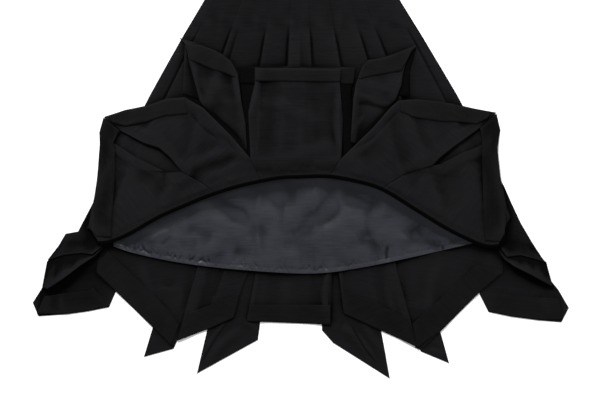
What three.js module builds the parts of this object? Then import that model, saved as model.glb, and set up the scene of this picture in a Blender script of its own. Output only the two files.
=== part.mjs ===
// A black pleated skirt laid flat on its back, with its front hem turned up over itself so that the
// hem's inside, the satin lining and the inside of the back hem show.
// Millimetres, +Z up, +Y towards the waistband. The origin is on the floor under the middle of the skirt.
import * as THREE from "three";

// ---- driving sizes ----
const shell = 1.5; // pleated cloth
const facing = 1.0; // turned hem facing
const satin = 1.0; // lining
const band = 3.0; // folded and interlined waistband
const seam = 0.3; // between sewn pieces, and between a piece and what it lies on
const stepFine = 30; // mesh step on what shows
const stepPlain = 52; // mesh step on what lies hidden
const foldReach = 9; // how far the turned hem rolls out past its flat part
const foldReturn = 5; // how far the roll runs back below
const foldLeast = 5; // least height of the roll, between the middles of its two walls
const foldClear = 1.8; // from the end of the roll to the front below
const foldSteps = 6; // facets round the roll
const steepest = 0.3; // how steeply cloth drops past an edge below it
const stiffPasses = 8;
const pleatDepth = 4; // height of a pleat's folded edge
const pleatDepthAtWaist = 1.6; // the same where the pleats are stitched down
const stitchedTo = 0.05; // share of the front's length down to which the pleats are stitched
const openFrom = 0.3; // share of the length from which they stand at full depth
const pleatEdge = 0.012; // width of a pleat's step, as a share of the panel
const buttonRadius = 7.5;
const buttonThick = 2.6;
const buttonSides = 24;

const black = { color: 0x1b1b1e, roughness: 0.86 };
const slate = { color: 0x464a57, roughness: 0.45 };
const horn = { color: 0x151517, roughness: 0.35 };

// ---- the height of what already lies on the floor, kept on a plan grid ----
const mapCell = 3;
const mapHalfX = 660;
const mapHalfY = 560;
const mapColumns = Math.ceil((2 * mapHalfX) / mapCell);
const mapRows = Math.ceil((2 * mapHalfY) / mapCell);
let heights = new Float64Array(mapColumns * mapRows);

function highestNear(x, y, radius, map = heights) {
  const reach = Math.ceil(radius / mapCell);
  const column = Math.round((x + mapHalfX) / mapCell);
  const row = Math.round((y + mapHalfY) / mapCell);
  let top = 0;
  for (let j = -reach; j <= reach; j++) {
    for (let i = -reach; i <= reach; i++) {
      if (i * i + j * j > (reach + 0.5) ** 2) continue;
      top = Math.max(top, map[(row + j) * mapColumns + column + i]);
    }
  }
  return top;
}

// calls visit(held, z) for every map cell under a triangle, with a cell's width to spare
function eachCell([a, b, c], visit) {
  const area = (b.x - a.x) * (c.y - a.y) - (c.x - a.x) * (b.y - a.y);
  if (Math.abs(area) < 1e-9) return;
  const low = (key, half) => Math.floor((Math.min(a[key], b[key], c[key]) + half) / mapCell);
  const high = (key, half) => Math.ceil((Math.max(a[key], b[key], c[key]) + half) / mapCell);
  const slack = mapCell / Math.sqrt(Math.abs(area));
  const highest = Math.max(a.z, b.z, c.z);
  for (let row = low("y", mapHalfY); row <= high("y", mapHalfY); row++) {
    for (let column = low("x", mapHalfX); column <= high("x", mapHalfX); column++) {
      const x = column * mapCell - mapHalfX;
      const y = row * mapCell - mapHalfY;
      const shareB = ((x - a.x) * (c.y - a.y) - (c.x - a.x) * (y - a.y)) / area;
      const shareC = ((b.x - a.x) * (y - a.y) - (x - a.x) * (b.y - a.y)) / area;
      if (shareB < -slack || shareC < -slack || shareB + shareC > 1 + slack) continue;
      const z = a.z + shareB * (b.z - a.z) + shareC * (c.z - a.z);
      visit(row * mapColumns + column, Math.min(z, highest));
    }
  }
}

function layDown(triangles) {
  for (const triangle of triangles) {
    eachCell(triangle, (held, z) => {
      heights[held] = Math.max(heights[held], z);
    });
  }
}

// ---- the line where the front hem is turned up, from left to right ----
const foldLine = new THREE.SplineCurve(
  [
    // x, y
    [-441, -137],
    [-419, -148],
    [-399, -152],
    [-377, -148],
    [-343, -133.5],
    [-287, -101.5],
    [-233, -77.5],
    [-180, -56],
    [-118, -37],
    [-46, -22.5],
    [-1, -20],
    [55, -19],
    [109, -28],
    [165, -45],
    [238, -89],
    [299, -126],
    [361, -155],
    [391, -158],
    [413, -147],
    [437, -105],
  ].map(([x, y]) => new THREE.Vector2(x, y)),
).getPoints(240);

// the lining's hem, from left to right
const liningHem = new THREE.SplineCurve(
  [
    // x, y
    [-376, -163],
    [-339, -176],
    [-265, -192.5],
    [-191, -203.5],
    [-117, -211],
    [-11, -218],
    [53, -216.5],
    [127, -205.5],
    [201, -190.5],
    [275, -174],
    [358.5, -154.5],
  ].map(([x, y]) => new THREE.Vector2(x, y)),
).getPoints(120);

// the point of a line at x, moved up the skirt by a distance square to the line
function onLine(line, x, inset) {
  let at = 1;
  while (at < line.length - 1 && line[at].x < x) at++;
  const from = line[at - 1];
  const to = line[at];
  const share = (x - from.x) / (to.x - from.x);
  const along = to.clone().sub(from).normalize();
  const point = from.clone().lerp(to, share);
  const outward = new THREE.Vector2(along.y, -along.x);
  return { x: point.x - outward.x * inset, y: point.y - outward.y * inset, outward };
}

// ---- a piece of cloth from its cross sections ----
// Each section runs from edge a to edge b. Its lifts say how far it stands above what it lies on.
function lengthways(sections, shares, step, endLine, endInset) {
  const lines = sections.map(([ax, ay, bx, by, aLift = 0, bLift = 0], index) => {
    const last = index === sections.length - 1;
    const half = seam / 2 / Math.hypot(bx - ax, by - ay);
    return shares.map((place) => {
      const share = THREE.MathUtils.lerp(half, 1 - half, place);
      const x = THREE.MathUtils.lerp(ax, bx, share);
      const lift = THREE.MathUtils.lerp(aLift, bLift, share);
      if (last && endLine) return { ...onLine(endLine, x, endInset), lift };
      return { x, y: THREE.MathUtils.lerp(ay, by, share), lift };
    });
  });
  const grid = [lines[0]];
  for (let index = 1; index < lines.length; index++) {
    const from = lines[index - 1];
    const to = lines[index];
    const reach = Math.max(...from.map((p, column) => away(to[column], p)));
    const count = Math.max(1, Math.round(reach / step));
    for (let k = 1; k <= count; k++) {
      const share = k / count;
      grid.push(
        from.map((p, column) => ({
          x: THREE.MathUtils.lerp(p.x, to[column].x, share),
          y: THREE.MathUtils.lerp(p.y, to[column].y, share),
          lift: THREE.MathUtils.lerp(p.lift, to[column].lift, share),
          outward: to[column].outward,
        })),
      );
    }
  }
  return grid;
}

const away = (p, q) => Math.hypot(p.x - q.x, p.y - q.y);

// The height that each grid point needs to clear what is below, with cloth too stiff to drop steeply.
function heightsBelow(grid) {
  const needed = grid.map((line) => line.map(() => 0));
  const cells = [];
  for (let row = 0; row < grid.length - 1; row++) {
    for (let column = 0; column < grid[0].length - 1; column++) {
      const corners = [[row, column], [row + 1, column], [row + 1, column + 1], [row, column + 1]];
      const [a, b, c, d] = corners.map(([j, i]) => grid[j][i]);
      let top = 0;
      const keep = (held) => {
        top = Math.max(top, heights[held]);
      };
      eachCell([a, b, c], keep);
      eachCell([a, c, d], keep);
      if (top > 0) top += seam;
      for (const [j, i] of corners) needed[j][i] = Math.max(needed[j][i], top);
      cells.push(corners);
    }
  }
  for (let pass = 0; pass < stiffPasses; pass++) {
    for (const corners of cells) {
      for (const [j, i] of corners) {
        for (const [n, m] of corners) {
          const apart = away(grid[j][i], grid[n][m]);
          needed[j][i] = Math.max(needed[j][i], needed[n][m] - steepest * apart);
        }
      }
    }
  }
  return needed;
}

// lays a grid on what is below it and gives its outer and inner points
function settle(grid, shares, thick, relief) {
  const needed = heightsBelow(grid);
  const outer = [];
  const inner = [];
  grid.forEach((line, row) => {
    outer.push([]);
    inner.push([]);
    line.forEach((p, column) => {
      const rise = relief ? relief(shares[column], row / (grid.length - 1)) : 0;
      const low = needed[row][column] + p.lift + rise;
      inner[row].push(new THREE.Vector3(p.x, p.y, low));
      outer[row].push(new THREE.Vector3(p.x, p.y, low + thick));
    });
  });
  return { outer, inner };
}

// carries the last line of a turned-up piece round the fold and a little way back below itself
function rollUnder(walls, grid, thick, lowMap) {
  const { outer, inner } = walls;
  const flat = grid[grid.length - 1];
  const topLine = outer[outer.length - 1];
  const lowest = flat.map((p) => highestNear(p.x, p.y, foldReach + foldReturn, lowMap) + seam + thick / 2);
  lowest.forEach((low, column) => {
    let short = low + foldLeast - topLine[column].z + thick / 2;
    for (let row = grid.length - 1; row >= 0 && short > 0; row--) {
      outer[row][column].z += short;
      inner[row][column].z += short;
      if (row > 0) short -= steepest * away(grid[row][column], grid[row - 1][column]);
    }
  });
  for (let k = 1; k <= foldSteps + 1; k++) {
    const turn = (Math.min(k, foldSteps) / foldSteps) * Math.PI;
    const back = k > foldSteps ? foldReturn : 0;
    const outLine = [];
    const inLine = [];
    flat.forEach((p, column) => {
      const top = topLine[column].z - thick / 2;
      const half = (top - lowest[column]) / 2;
      const middle = (top + lowest[column]) / 2;
      const reach = foldReach * Math.sin(turn) - back;
      const height = middle + half * Math.cos(turn);
      const normal = new THREE.Vector2(half * Math.sin(turn), foldReach * Math.cos(turn)).normalize();
      for (const [line, side] of [[outLine, thick / 2], [inLine, -thick / 2]]) {
        const run = reach + normal.x * side;
        line.push(new THREE.Vector3(
          p.x + p.outward.x * run,
          p.y + p.outward.y * run,
          height + normal.y * side,
        ));
      }
    });
    outer.push(outLine);
    inner.push(inLine);
  }
}

// closes the outer and inner walls into one solid
function closeWalls({ outer, inner }) {
  const rows = outer.length;
  const columns = outer[0].length;
  const points = [...outer.flat(), ...inner.flat()];
  const skip = rows * columns;
  const index = [];
  const quad = (a, b, c, d) => index.push(a, b, c, a, c, d);
  const at = (row, column) => row * columns + column;
  for (let row = 0; row < rows - 1; row++) {
    for (let column = 0; column < columns - 1; column++) {
      const corners = [at(row, column), at(row + 1, column), at(row + 1, column + 1), at(row, column + 1)];
      quad(...corners);
      quad(...corners.map((corner) => corner + skip).reverse());
    }
    quad(at(row + 1, 0), at(row, 0), at(row, 0) + skip, at(row + 1, 0) + skip);
    const end = columns - 1;
    quad(at(row, end), at(row + 1, end), at(row + 1, end) + skip, at(row, end) + skip);
  }
  for (let column = 0; column < columns - 1; column++) {
    quad(at(0, column), at(0, column + 1), at(0, column + 1) + skip, at(0, column) + skip);
    const end = rows - 1;
    quad(at(end, column + 1), at(end, column), at(end, column) + skip, at(end, column + 1) + skip);
  }
  const volume = index.reduce((sum, _, k) => {
    if (k % 3) return sum;
    const [a, b, c] = [points[index[k]], points[index[k + 1]], points[index[k + 2]]];
    return sum + a.dot(b.clone().cross(c));
  }, 0);
  if (volume < 0) index.reverse();
  const geometry = new THREE.BufferGeometry();
  geometry.setAttribute("position", new THREE.Float32BufferAttribute(points.flatMap((p) => p.toArray()), 3));
  geometry.setIndex(index);
  geometry.computeVertexNormals();
  return geometry;
}

const skirt = new THREE.Group();

function addPiece(name, geometry, look) {
  const material = new THREE.MeshStandardMaterial({ ...look, metalness: 0 });
  const mesh = new THREE.Mesh(geometry, material);
  mesh.name = name;
  skirt.add(mesh);
}

// A layer's pieces lie side by side: all of them rest on the layers below, and none on another.
function addLayer(pieces, lowMap) {
  const laid = [];
  for (const piece of pieces) {
    const { name, sections, thick = shell, look = black, step = stepFine, across, relief } = piece;
    const widest = Math.max(...sections.map(([ax, ay, bx, by]) => Math.hypot(bx - ax, by - ay)));
    const count = Math.max(1, Math.round(widest / step));
    const shares = across ?? Array.from({ length: count + 1 }, (_, column) => column / count);
    const inset = piece.turned ? foldReach : (piece.endInset ?? 0);
    const grid = lengthways(sections, shares, step, piece.endLine, inset);
    const walls = settle(grid, shares, thick, relief);
    if (piece.turned) rollUnder(walls, grid, thick, lowMap);
    addPiece(name, closeWalls(walls), look);
    for (let row = 0; row < walls.outer.length - 1; row++) {
      for (let column = 0; column < walls.outer[0].length - 1; column++) {
        const a = walls.outer[row][column];
        const b = walls.outer[row + 1][column];
        const c = walls.outer[row + 1][column + 1];
        const d = walls.outer[row][column + 1];
        laid.push([a, b, c], [a, c, d]);
      }
    }
  }
  layDown(laid);
}

// ---- 1: what lies on the floor first: pleat underlays of the back, lower side pleats, waistband back ----
addLayer([
  {
    name: "back_pleat_1",
    sections: [
      // ax, ay, bx, by
      [-277, -251, -245, -251],
      [-296.5, -327.5, -246.5, -351.5],
      [-314, -385.5, -254.5, -369],
    ],
  },
  {
    name: "back_pleat_2",
    sections: [
      [-105, -121, -57, -121],
      [-173, -283, -83, -283],
      [-187, -331, -81, -316],
      [-195, -365, -85.5, -351.5],
      [-207.5, -419, -202, -415.5],
    ],
  },
  {
    name: "back_pleat_3",
    sections: [
      [49, -101, 103, -101],
      [43, -283, 149, -283],
      [43, -332, 162, -335],
      [65, -357, 166.5, -359],
      [173, -425, 179, -429],
    ],
  },
  {
    name: "back_pleat_4",
    sections: [
      [215, -283, 271, -283],
      [234.5, -343, 280.5, -335],
      [241, -374.5, 290, -369],
      [293, -396, 298, -398.5],
    ],
  },
  {
    name: "side_pleat_lower_left",
    sections: [
      [-518, -247, -537, -277],
      [-503, -219, -525.5, -304],
      [-469, -195, -467.5, -300],
      [-433, -183, -427, -294.5],
      [-407, -175, -384, -286],
      [-391, -165, -370, -253.5],
    ],
  },
  {
    name: "side_pleat_lower_right",
    sections: [
      [517, -251, 538, -287],
      [497, -229, 523, -316],
      [465, -207, 478.5, -312.5],
      [433, -193, 423, -305],
      [409, -185, 377, -295.5],
      [391, -171, 359, -260],
    ],
  },
  {
    name: "waistband_back",
    thick: band,
    step: stepPlain,
    sections: [
      [-162, 429, 168.5, 429],
      [-171.5, 396, 178, 396],
    ],
  },
]);

// ---- 2: the back, seen from its inside: outer gores first, the others over their edges ----
addLayer([
  {
    name: "back_outer_left",
    step: 52,
    sections: [
      [-172, 395.5, -105, 395.5],
      [-192, 329, -113, 329],
      [-301, 139, -145, 139],
      [-401, -71, -173, -71],
      [-405, -181, -193, -181],
      [-409, -216.5, -203, -221],
      [-353, -271, -221, -283],
      [-296.5, -325.5, -237, -339],
      [-257, -365, -247, -352],
    ],
  },
  {
    name: "back_outer_right",
    step: 52,
    sections: [
      [107, 395.5, 178.5, 395.5],
      [113, 329, 198.5, 329],
      [137, 139, 299, 139],
      [161, -71, 395, -71],
      [177, -181, 407, -181],
      [187, -221, 406, -218],
      [207, -283, 356.5, -259],
      [221, -331, 280.5, -335],
      [230, -367, 240, -371],
    ],
  },
]);
addLayer([
  {
    name: "back_inner_left",
    step: 52,
    sections: [
      [-121, 395.5, -65, 395.5],
      [-159, 129, -71, 129],
      [-189, -81, -77, -81],
      [-206, -203.5, -97, -195],
      [-226, -274, -120, -257],
      [-247, -353, -133.5, -307],
    ],
  },
  {
    name: "back_centre",
    step: 52,
    sections: [
      [-64, 395.5, 55, 395.5],
      [-70, 129, 61, 129],
      [-76, -81, 65, -81],
      [-90, -215, 64, -215],
      [-107, -307, 60, -313],
      [-107, -314, 60, -321],
    ],
  },
  {
    name: "back_inner_right",
    step: 52,
    sections: [
      [56, 395.5, 123, 395.5],
      [62, 129, 149, 129],
      [66, -81, 173, -81],
      [77, -216.5, 193, -211],
      [86.5, -296, 216, -295],
      [90, -300, 234.5, -366],
    ],
  },
]);

// ---- 3: hem facings on the back and on the lower side pleats ----
addLayer([
  {
    name: "facing_back_outer_left",
    thick: facing,
    sections: [
      [-403, -195, -387, -175],
      [-409, -216.5, -376, -184],
      [-353, -271, -322, -235],
      [-296.5, -325.5, -265, -291],
      [-258, -364, -244, -321],
    ],
  },
  {
    name: "facing_back_inner_left",
    thick: facing,
    sections: [
      [-231.5, -299.5, -246.5, -353],
      [-169, -277.5, -187, -330.5],
      [-121.5, -258, -134, -307],
    ],
  },
  {
    name: "facing_back_centre",
    thick: facing,
    sections: [
      [-103, -281, 60, -281],
      [-106.5, -314, 60, -320.5],
    ],
  },
  {
    name: "facing_back_inner_right",
    thick: facing,
    sections: [
      [83, -253, 90.5, -300],
      [157, -279.5, 160.5, -332],
      [215, -309, 232, -365],
    ],
  },
  {
    name: "facing_back_outer_right",
    thick: facing,
    sections: [
      [224, -319, 234, -368],
      [275, -274, 280.5, -334.5],
      [312, -240.5, 356.5, -258.5],
      [353, -200, 401, -220],
    ],
  },
  {
    name: "facing_side_left",
    thick: facing,
    sections: [
      [-513, -264, -529, -299],
      [-473.5, -258, -467.5, -299.5],
      [-426.5, -253, -427, -294],
      [-415, -247, -387, -285.5],
    ],
  },
  {
    name: "facing_side_right",
    thick: facing,
    sections: [
      [519, -269, 526, -311],
      [474, -266, 478.5, -312],
      [425, -261, 423, -305],
      [409, -253, 381, -296],
    ],
  },
]);

// ---- 4: the lining, back and then front ----
addLayer([
  {
    name: "lining_back",
    thick: satin,
    look: slate,
    step: 64,
    sections: [
      [-167, 395.5, 173, 395.5],
      [-185, 329, 191, 329],
      [-281, 129, 283, 129],
      [-349, -51, 335, -51],
      [-351, -143, 331, -143],
    ],
  },
]);
addLayer([
  {
    name: "lining_front",
    thick: satin,
    look: slate,
    step: 50,
    endLine: liningHem,
    sections: [
      [-168, 395.5, 174, 395.5],
      [-187, 329, 193, 329],
      [-287, 129, 289, 129],
      [-365, -71, 347, -71],
      [-375, -163, 358, -155],
    ],
  },
]);
// ---- 5: folded side pleats, then the pleated front from the waistband to the turn ----
addLayer([
  {
    name: "side_pleat_fold_left",
    step: 18,
    sections: [
      // ax, ay, bx, by, aLift, bLift
      [-383, -149, -383.5, -155.5, 0, 2],
      [-416, -171, -411.5, -183, 0, 8],
      [-439, -167, -439.5, -202, 0, 15],
      [-473.5, -171, -473.5, -228.5, 2, 21],
      [-501, -185, -505.5, -249, 5, 19],
      [-508.5, -195, -517, -245, 6, 12],
    ],
  },
  {
    name: "side_pleat_fold_right",
    step: 18,
    sections: [
      [389, -157, 391, -163, 0, 2],
      [409, -171, 407.5, -189.5, 0, 8],
      [427, -173, 427, -204, 0, 14],
      [453, -175, 453, -217, 2, 20],
      [479, -185, 481, -232, 4, 21],
      [494, -197, 505, -245, 6, 15],
    ],
  },
]);

addLayer([
  {
    name: "side_pleat_upper_left",
    step: 18,
    sections: [
      // ax, ay, bx, by, aLift, bLift
      [-397, -43, -385, -153.5, 0, 0],
      [-414, -72.5, -416, -180, 0, -0.9],
      [-431, -105, -427, -178.5, 0, -0.9],
      [-446, -134, -438, -177, 1, -0.9],
      [-471, -138.5, -473.5, -181, 3, -0.9],
      [-484, -161, -506.5, -191, 3, 0],
    ],
  },
  {
    name: "side_pleat_upper_right",
    step: 18,
    sections: [
      [395, -19, 394, -158, 0, 0],
      [409, -44.5, 413, -185, 0, 0],
      [423, -77, 427, -183, 0, 0],
      [442, -117.5, 441, -181.5, 1, 0],
      [463, -153.5, 474, -190, 3, 0],
      [486, -190, 494, -197, 3, 1],
    ],
  },
]);
const underFront = heights.slice(); // what the fold's return lies on

const frontPleats = [
  // share of the width, side that the folded edge looks to
  [0.05, -1],
  [0.19, -1],
  [0.25, -1],
  [0.34, -1],
  [0.441, -1],
  [0.527, 1],
  [0.631, 1],
  [0.737, 1],
  [0.83, 1],
  [0.952, 1],
];

// columns of the front: one on each side of every folded edge, and one in the middle of each face
const frontShares = [0];
for (const [share] of frontPleats) {
  const before = frontShares[frontShares.length - 1];
  frontShares.push((before + share) / 2, share - pleatEdge / 2, share + pleatEdge / 2);
}
frontShares.push((frontShares[frontShares.length - 1] + 1) / 2, 1);

// Each face rises to its own folded edge and starts low, under the edge of its neighbour.
function pleatFace(share) {
  const next = frontPleats.findIndex(([fold]) => fold > share);
  if (next < 1) return 0;
  const [left, leftSide] = frontPleats[next - 1];
  const [right, rightSide] = frontPleats[next];
  const along = (share - left) / (right - left);
  if (leftSide !== rightSide) return 1;
  return leftSide < 0 ? 1 - along : along;
}

addLayer([
  {
    name: "waistband_front",
    thick: band,
    step: stepPlain,
    sections: [
      [-162, 429, 168.5, 429],
      [-171.5, 396, 178, 396],
    ],
  },
  {
    name: "front",
    step: 44,
    across: frontShares,
    endLine: foldLine,
    endInset: foldReach + foldReturn + foldClear,
    relief: (share, down) =>
      pleatFace(share) *
      THREE.MathUtils.lerp(pleatDepthAtWaist, pleatDepth, THREE.MathUtils.smoothstep(down, stitchedTo, openFrom)),
    sections: [
      // ax, ay, bx, by
      [-172, 395.5, 178.5, 395.5],
      [-192, 329, 198.5, 329],
      [-237.5, 253, 246, 253],
      [-301, 139, 314, 139],
      [-358.5, 29, 372, 29],
      [-435, -123, 433, -107],
    ],
  },
]);
// ---- 6: the front hem, turned up: the pieces that lie lowest come first ----
addLayer([
  {
    name: "hem_underlay",
    sections: [
      // ax, ay, bx, by
      [-125, 196, 111, 194],
      [-119, 149, 101, 145],
      [-115, 89, 93, 89],
      [-113, 1, 91, 1],
    ],
  },
  {
    name: "hem_return_left",
    sections: [
      [-231, 238, -224, 235],
      [-233, 189, -213, 189],
      [-236, 141, -199, 129],
    ],
  },
  {
    name: "hem_return_right",
    sections: [
      [224, 229, 230, 233],
      [203, 193, 219, 189],
      [191, 139, 217, 135],
    ],
  },
]);
addLayer([
  {
    name: "facing_underlay",
    thick: facing,
    sections: [
      [-124, 195, 110.5, 193],
      [-120, 161, 105, 160],
    ],
  },
]);
addLayer([
  {
    name: "hem_inner_left",
    sections: [
      // ax, ay, bx, by, aLift, bLift
      [-231.5, 242.5, -197.5, 239, 2, 0],
      [-226, 225, -158, 221, 2, 0],
      [-222, 203.5, -138.5, 206, 2, 0],
      [-216, 181, -125, 181, 2, 0],
      [-201.5, 128, -118, 126, 2, 5],
      [-175, 81, -109.5, 81, 0, 4],
      [-133, 29, -106, 15, 0, 1],
    ],
  },
  {
    name: "hem_inner_right",
    sections: [
      [198, 226, 231.5, 237.5, 0, 2],
      [167.5, 214, 220, 222, 0, 2],
      [135, 208, 210, 201, 0, 2],
      [122.5, 194.5, 204.5, 181, 0, 2],
      [108, 159, 201, 157, 4, 2],
      [98, 129, 190, 130, 5, 2],
      [90, 93, 159, 81, 4, 0],
      [87.5, 39, 107, 29, 1, 0],
    ],
  },
]);
addLayer([
  {
    name: "facing_inner_left",
    thick: facing,
    sections: [
      // ax, ay, bx, by
      [-228, 240, -220, 208],
      [-197.5, 238, -195, 198],
      [-173, 229, -171, 187.5],
      [-158, 220, -153, 183],
      [-139, 204.5, -131, 173.5],
    ],
  },
  {
    name: "facing_inner_right",
    thick: facing,
    sections: [
      [124.5, 193, 116, 170],
      [135, 206.5, 141, 176],
      [167.5, 212.5, 171.5, 181],
      [198, 225, 201, 186.5],
      [226, 234, 209, 202],
    ],
  },
  {
    name: "hem_gusset_left",
    sections: [
      [-391, 94, -393, 90],
      [-353, 81, -369, 29],
      [-309, 59, -333, 5],
      [-275, 41, -297, -13],
      [-241, 9, -267, -31],
      [-225, -13, -241, -33],
    ],
  },
  {
    name: "hem_gusset_right",
    sections: [
      [389, 102, 391.5, 96.5],
      [351, 85, 363, 25],
      [309, 57, 323, 9],
      [279, 33, 281, -15],
      [253, 11, 259, -19],
    ],
  },
]);
addLayer(
  [
    {
      name: "hem_centre",
      turned: true,
      endLine: foldLine,
      sections: [
        // ax, ay, bx, by, aLift, bLift
        [-91, 193, 82, 190.5, 0, 0],
        [-91, 161, 78.5, 161, 1, 1],
        [-97, 137, 80.5, 137, 3, 1],
        [-104, 103, 85, 89, 5, 2],
        [-99.5, 11.5, 81, 11.5, 3, 3],
        [-90, -11, 67.5, -8, 0, 0],
        [-82, -31, 61, -19, 0, 0],
      ],
    },
    {
      name: "hem_middle_left",
      turned: true,
      step: 36,
      endLine: foldLine,
      sections: [
        [-393.5, 96, -392.5, 93.5, 0, 0],
        [-351, 110, -359, 67, 0, 2],
        [-307, 118, -313.5, 43, 0, 5],
        [-267, 132, -281.5, 32.5, 0, 6],
        [-231, 134, -260, 13.5, 3, 5],
        [-193.5, 112, -236, -16, 5, 1],
        [-138.5, 57, -221, -24, 6, 0],
        [-99.5, 11.5, -206.5, -32, 3, 0],
        [-90, -11, -191, -41, 0, 0],
        [-82, -31, -174.5, -53, 0, 0],
      ],
    },
    {
      name: "hem_outer_left",
      turned: true,
      step: 36,
      endLine: foldLine,
      sections: [
        [-395, 94.5, -392, 92, 0, 0],
        [-403.5, 65, -374, 43, 0, 0],
        [-402.5, 43, -332.5, 16.5, 0, 2],
        [-404.5, 19, -300, 0, 0, 3],
        [-406, -3, -271, -15, 0, 3],
        [-408, -27, -236, -16, 0, 1],
        [-411, -57, -221, -24, 0, 0],
        [-418, -88, -206.5, -32, 0, 0],
        [-423, -123, -191, -41, 0, 0],
        [-405, -147, -174.5, -53, 0, 0],
      ],
    },
    {
      name: "hem_middle_right",
      turned: true,
      step: 36,
      endLine: foldLine,
      sections: [
        [392, 104.5, 390, 102, 0, 0],
        [349, 112.5, 357, 72, 0, 2],
        [303, 122, 308, 37, 0, 5],
        [232, 131, 279, 14, 0, 6],
        [195, 127, 263, -3, 3, 3],
        [179, 113, 229, -13.5, 5, 0],
        [145, 73.5, 204, -22, 6, 0],
        [81, 11.5, 187, -33, 3, 0],
        [67.5, -8, 177, -39, 0, 0],
        [61, -19, 167.5, -45, 0, 0],
      ],
    },
    {
      name: "hem_outer_right",
      turned: true,
      step: 36,
      endLine: foldLine,
      sections: [
        [390, 100, 393, 102, 0, 0],
        [362, 37, 401, 69, 0, 0],
        [322, 23, 395.5, 39, 2, 0],
        [280, 0.5, 396.5, 13, 3, 0],
        [263, -3, 400.5, -24.5, 2, 0],
        [229, -13.5, 403.5, -39, 0, 0],
        [204, -22, 406.5, -55, 0, 0],
        [187, -33, 412, -83.5, 0, 0],
        [177, -39, 411, -121, 0, 0],
        [167.5, -45, 396, -155, 0, 0],
      ],
    },
  ],
  underFront,
);
addLayer([
  {
    name: "facing_centre",
    thick: facing,
    sections: [
      // ax, ay, bx, by
      [-90.5, 192, 81, 190],
      [-89.5, 166, 79, 164],
    ],
  },
  {
    name: "facing_middle_left",
    thick: facing,
    sections: [
      [-386, 97.5, -377, 84],
      [-356.5, 107.5, -350, 76.5],
      [-307, 117.5, -308, 84.5],
      [-271, 130, -271, 96.5],
      [-232, 133, -225.5, 100.5],
    ],
  },
  {
    name: "facing_outer_left",
    thick: facing,
    sections: [
      [-394.5, 88, -389.5, 85],
      [-403, 65, -375.5, 42],
      [-402.5, 29, -370, 27],
      [-406, -18.5, -371, -18.5],
      [-415, -81, -374, -77],
      [-422, -115, -375.5, -115],
      [-418.5, -128, -376, -128],
    ],
  },
  {
    name: "facing_middle_right",
    thick: facing,
    sections: [
      [200, 126.5, 199, 105.5],
      [232, 130, 224, 94.5],
      [280, 125.5, 280, 85],
      [326, 116, 316.5, 84.5],
      [359, 109, 353, 81],
      [383, 104, 373, 92],
    ],
  },
  {
    name: "facing_outer_right",
    thick: facing,
    sections: [
      [387, 93, 391.5, 95],
      [366, 41, 400, 66],
      [362.5, 29, 395, 29],
      [364, -24.5, 399.5, -24.5],
      [365, -71, 409, -81],
      [366, -111, 410, -115],
      [366.5, -137, 406, -137],
    ],
  },
  {
    name: "waist_tab",
    thick: band,
    sections: [
      [-161, 428, -117, 428],
      [-170, 397.5, -123, 397.5],
    ],
  },
]);

// ---- 7: the button of the waistband ----
const buttonPlace = new THREE.Vector2(-141, 413);
const buttonSeat = highestNear(buttonPlace.x, buttonPlace.y, buttonRadius) + seam;
const buttonShape = new THREE.CylinderGeometry(buttonRadius, buttonRadius, buttonThick, buttonSides);
buttonShape.rotateX(Math.PI / 2);
buttonShape.translate(buttonPlace.x, buttonPlace.y, buttonSeat + buttonThick / 2);
addPiece("waist_button", buttonShape, horn);

export default skirt;
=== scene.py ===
import math
import bpy
import numpy as np
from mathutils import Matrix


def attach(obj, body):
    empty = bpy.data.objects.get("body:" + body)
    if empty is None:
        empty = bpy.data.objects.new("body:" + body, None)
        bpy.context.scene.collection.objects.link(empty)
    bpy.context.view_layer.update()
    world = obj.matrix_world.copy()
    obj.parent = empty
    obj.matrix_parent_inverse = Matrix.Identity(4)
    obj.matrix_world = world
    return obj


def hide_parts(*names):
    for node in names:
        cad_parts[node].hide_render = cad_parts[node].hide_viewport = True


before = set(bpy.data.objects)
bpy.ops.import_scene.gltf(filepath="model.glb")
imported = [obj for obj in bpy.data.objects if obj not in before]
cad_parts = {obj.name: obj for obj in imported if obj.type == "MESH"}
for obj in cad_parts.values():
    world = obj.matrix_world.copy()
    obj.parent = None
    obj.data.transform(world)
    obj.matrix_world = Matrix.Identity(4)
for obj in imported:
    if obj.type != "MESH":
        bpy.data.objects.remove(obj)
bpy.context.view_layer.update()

# Plan places are in millimetres: x to the right, y towards the waistband, from under the skirt's middle.
mm = 0.001
clothSizes = {
    "gap": 0.25,  # air between two layers
    "fineCell": 4.5,  # mesh cell of most pieces
    "lookRound": 0.75,  # how far round a point cloth feels what is below it, in cells
    "steepest": 0.45,  # how steeply cloth drops past an edge below it
    "fairRounds": 14,  # how often most pieces are smoothed over what they rest on
    "restShare": 0.04,  # the share of a piece over another from which it rests on it
    "bow": 0.35,  # how far a crease bows, as a share of a quarter of its length
    "rimOut": 0.15,  # how far a pressed edge bulges, as a share of its thickness
}
thickness = {"cloth": 1.0, "facing": 0.5, "lining": 0.5, "waistband": 2.4}  # the band is folded
foldSizes = {
    "reach": 8.0,  # how far the turned hem rolls out past its flat part
    "back": 5.0,  # how far the roll runs back below
    "clear": 1.8,  # from the end of the roll to the front below
    "leastHeight": 9.0,
    "climb": 85.0,  # over what distance the cloth climbs to the fold
    "edgeShade": 0.32,  # painted shade on the cloth along the fold
    "edgeReach": 7.0,  # and over what distance
    "wallShade": 0.05,  # how much more painted shade each row of the roll gets
    "shadeReach": 15.0,  # how far the painted shadow under the fold runs over the lining
    "profile": [  # shares of the reach and of the drop, from the top to the underside
        (0.06, 0.01), (0.12, 0.05), (0.18, 0.13), (0.28, 0.27), (0.42, 0.44), (0.57, 0.62),
        (0.72, 0.78), (0.87, 0.91), (0.97, 0.98), (0.94, 1.0), (0.80, 1.0),
    ],
}

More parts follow.
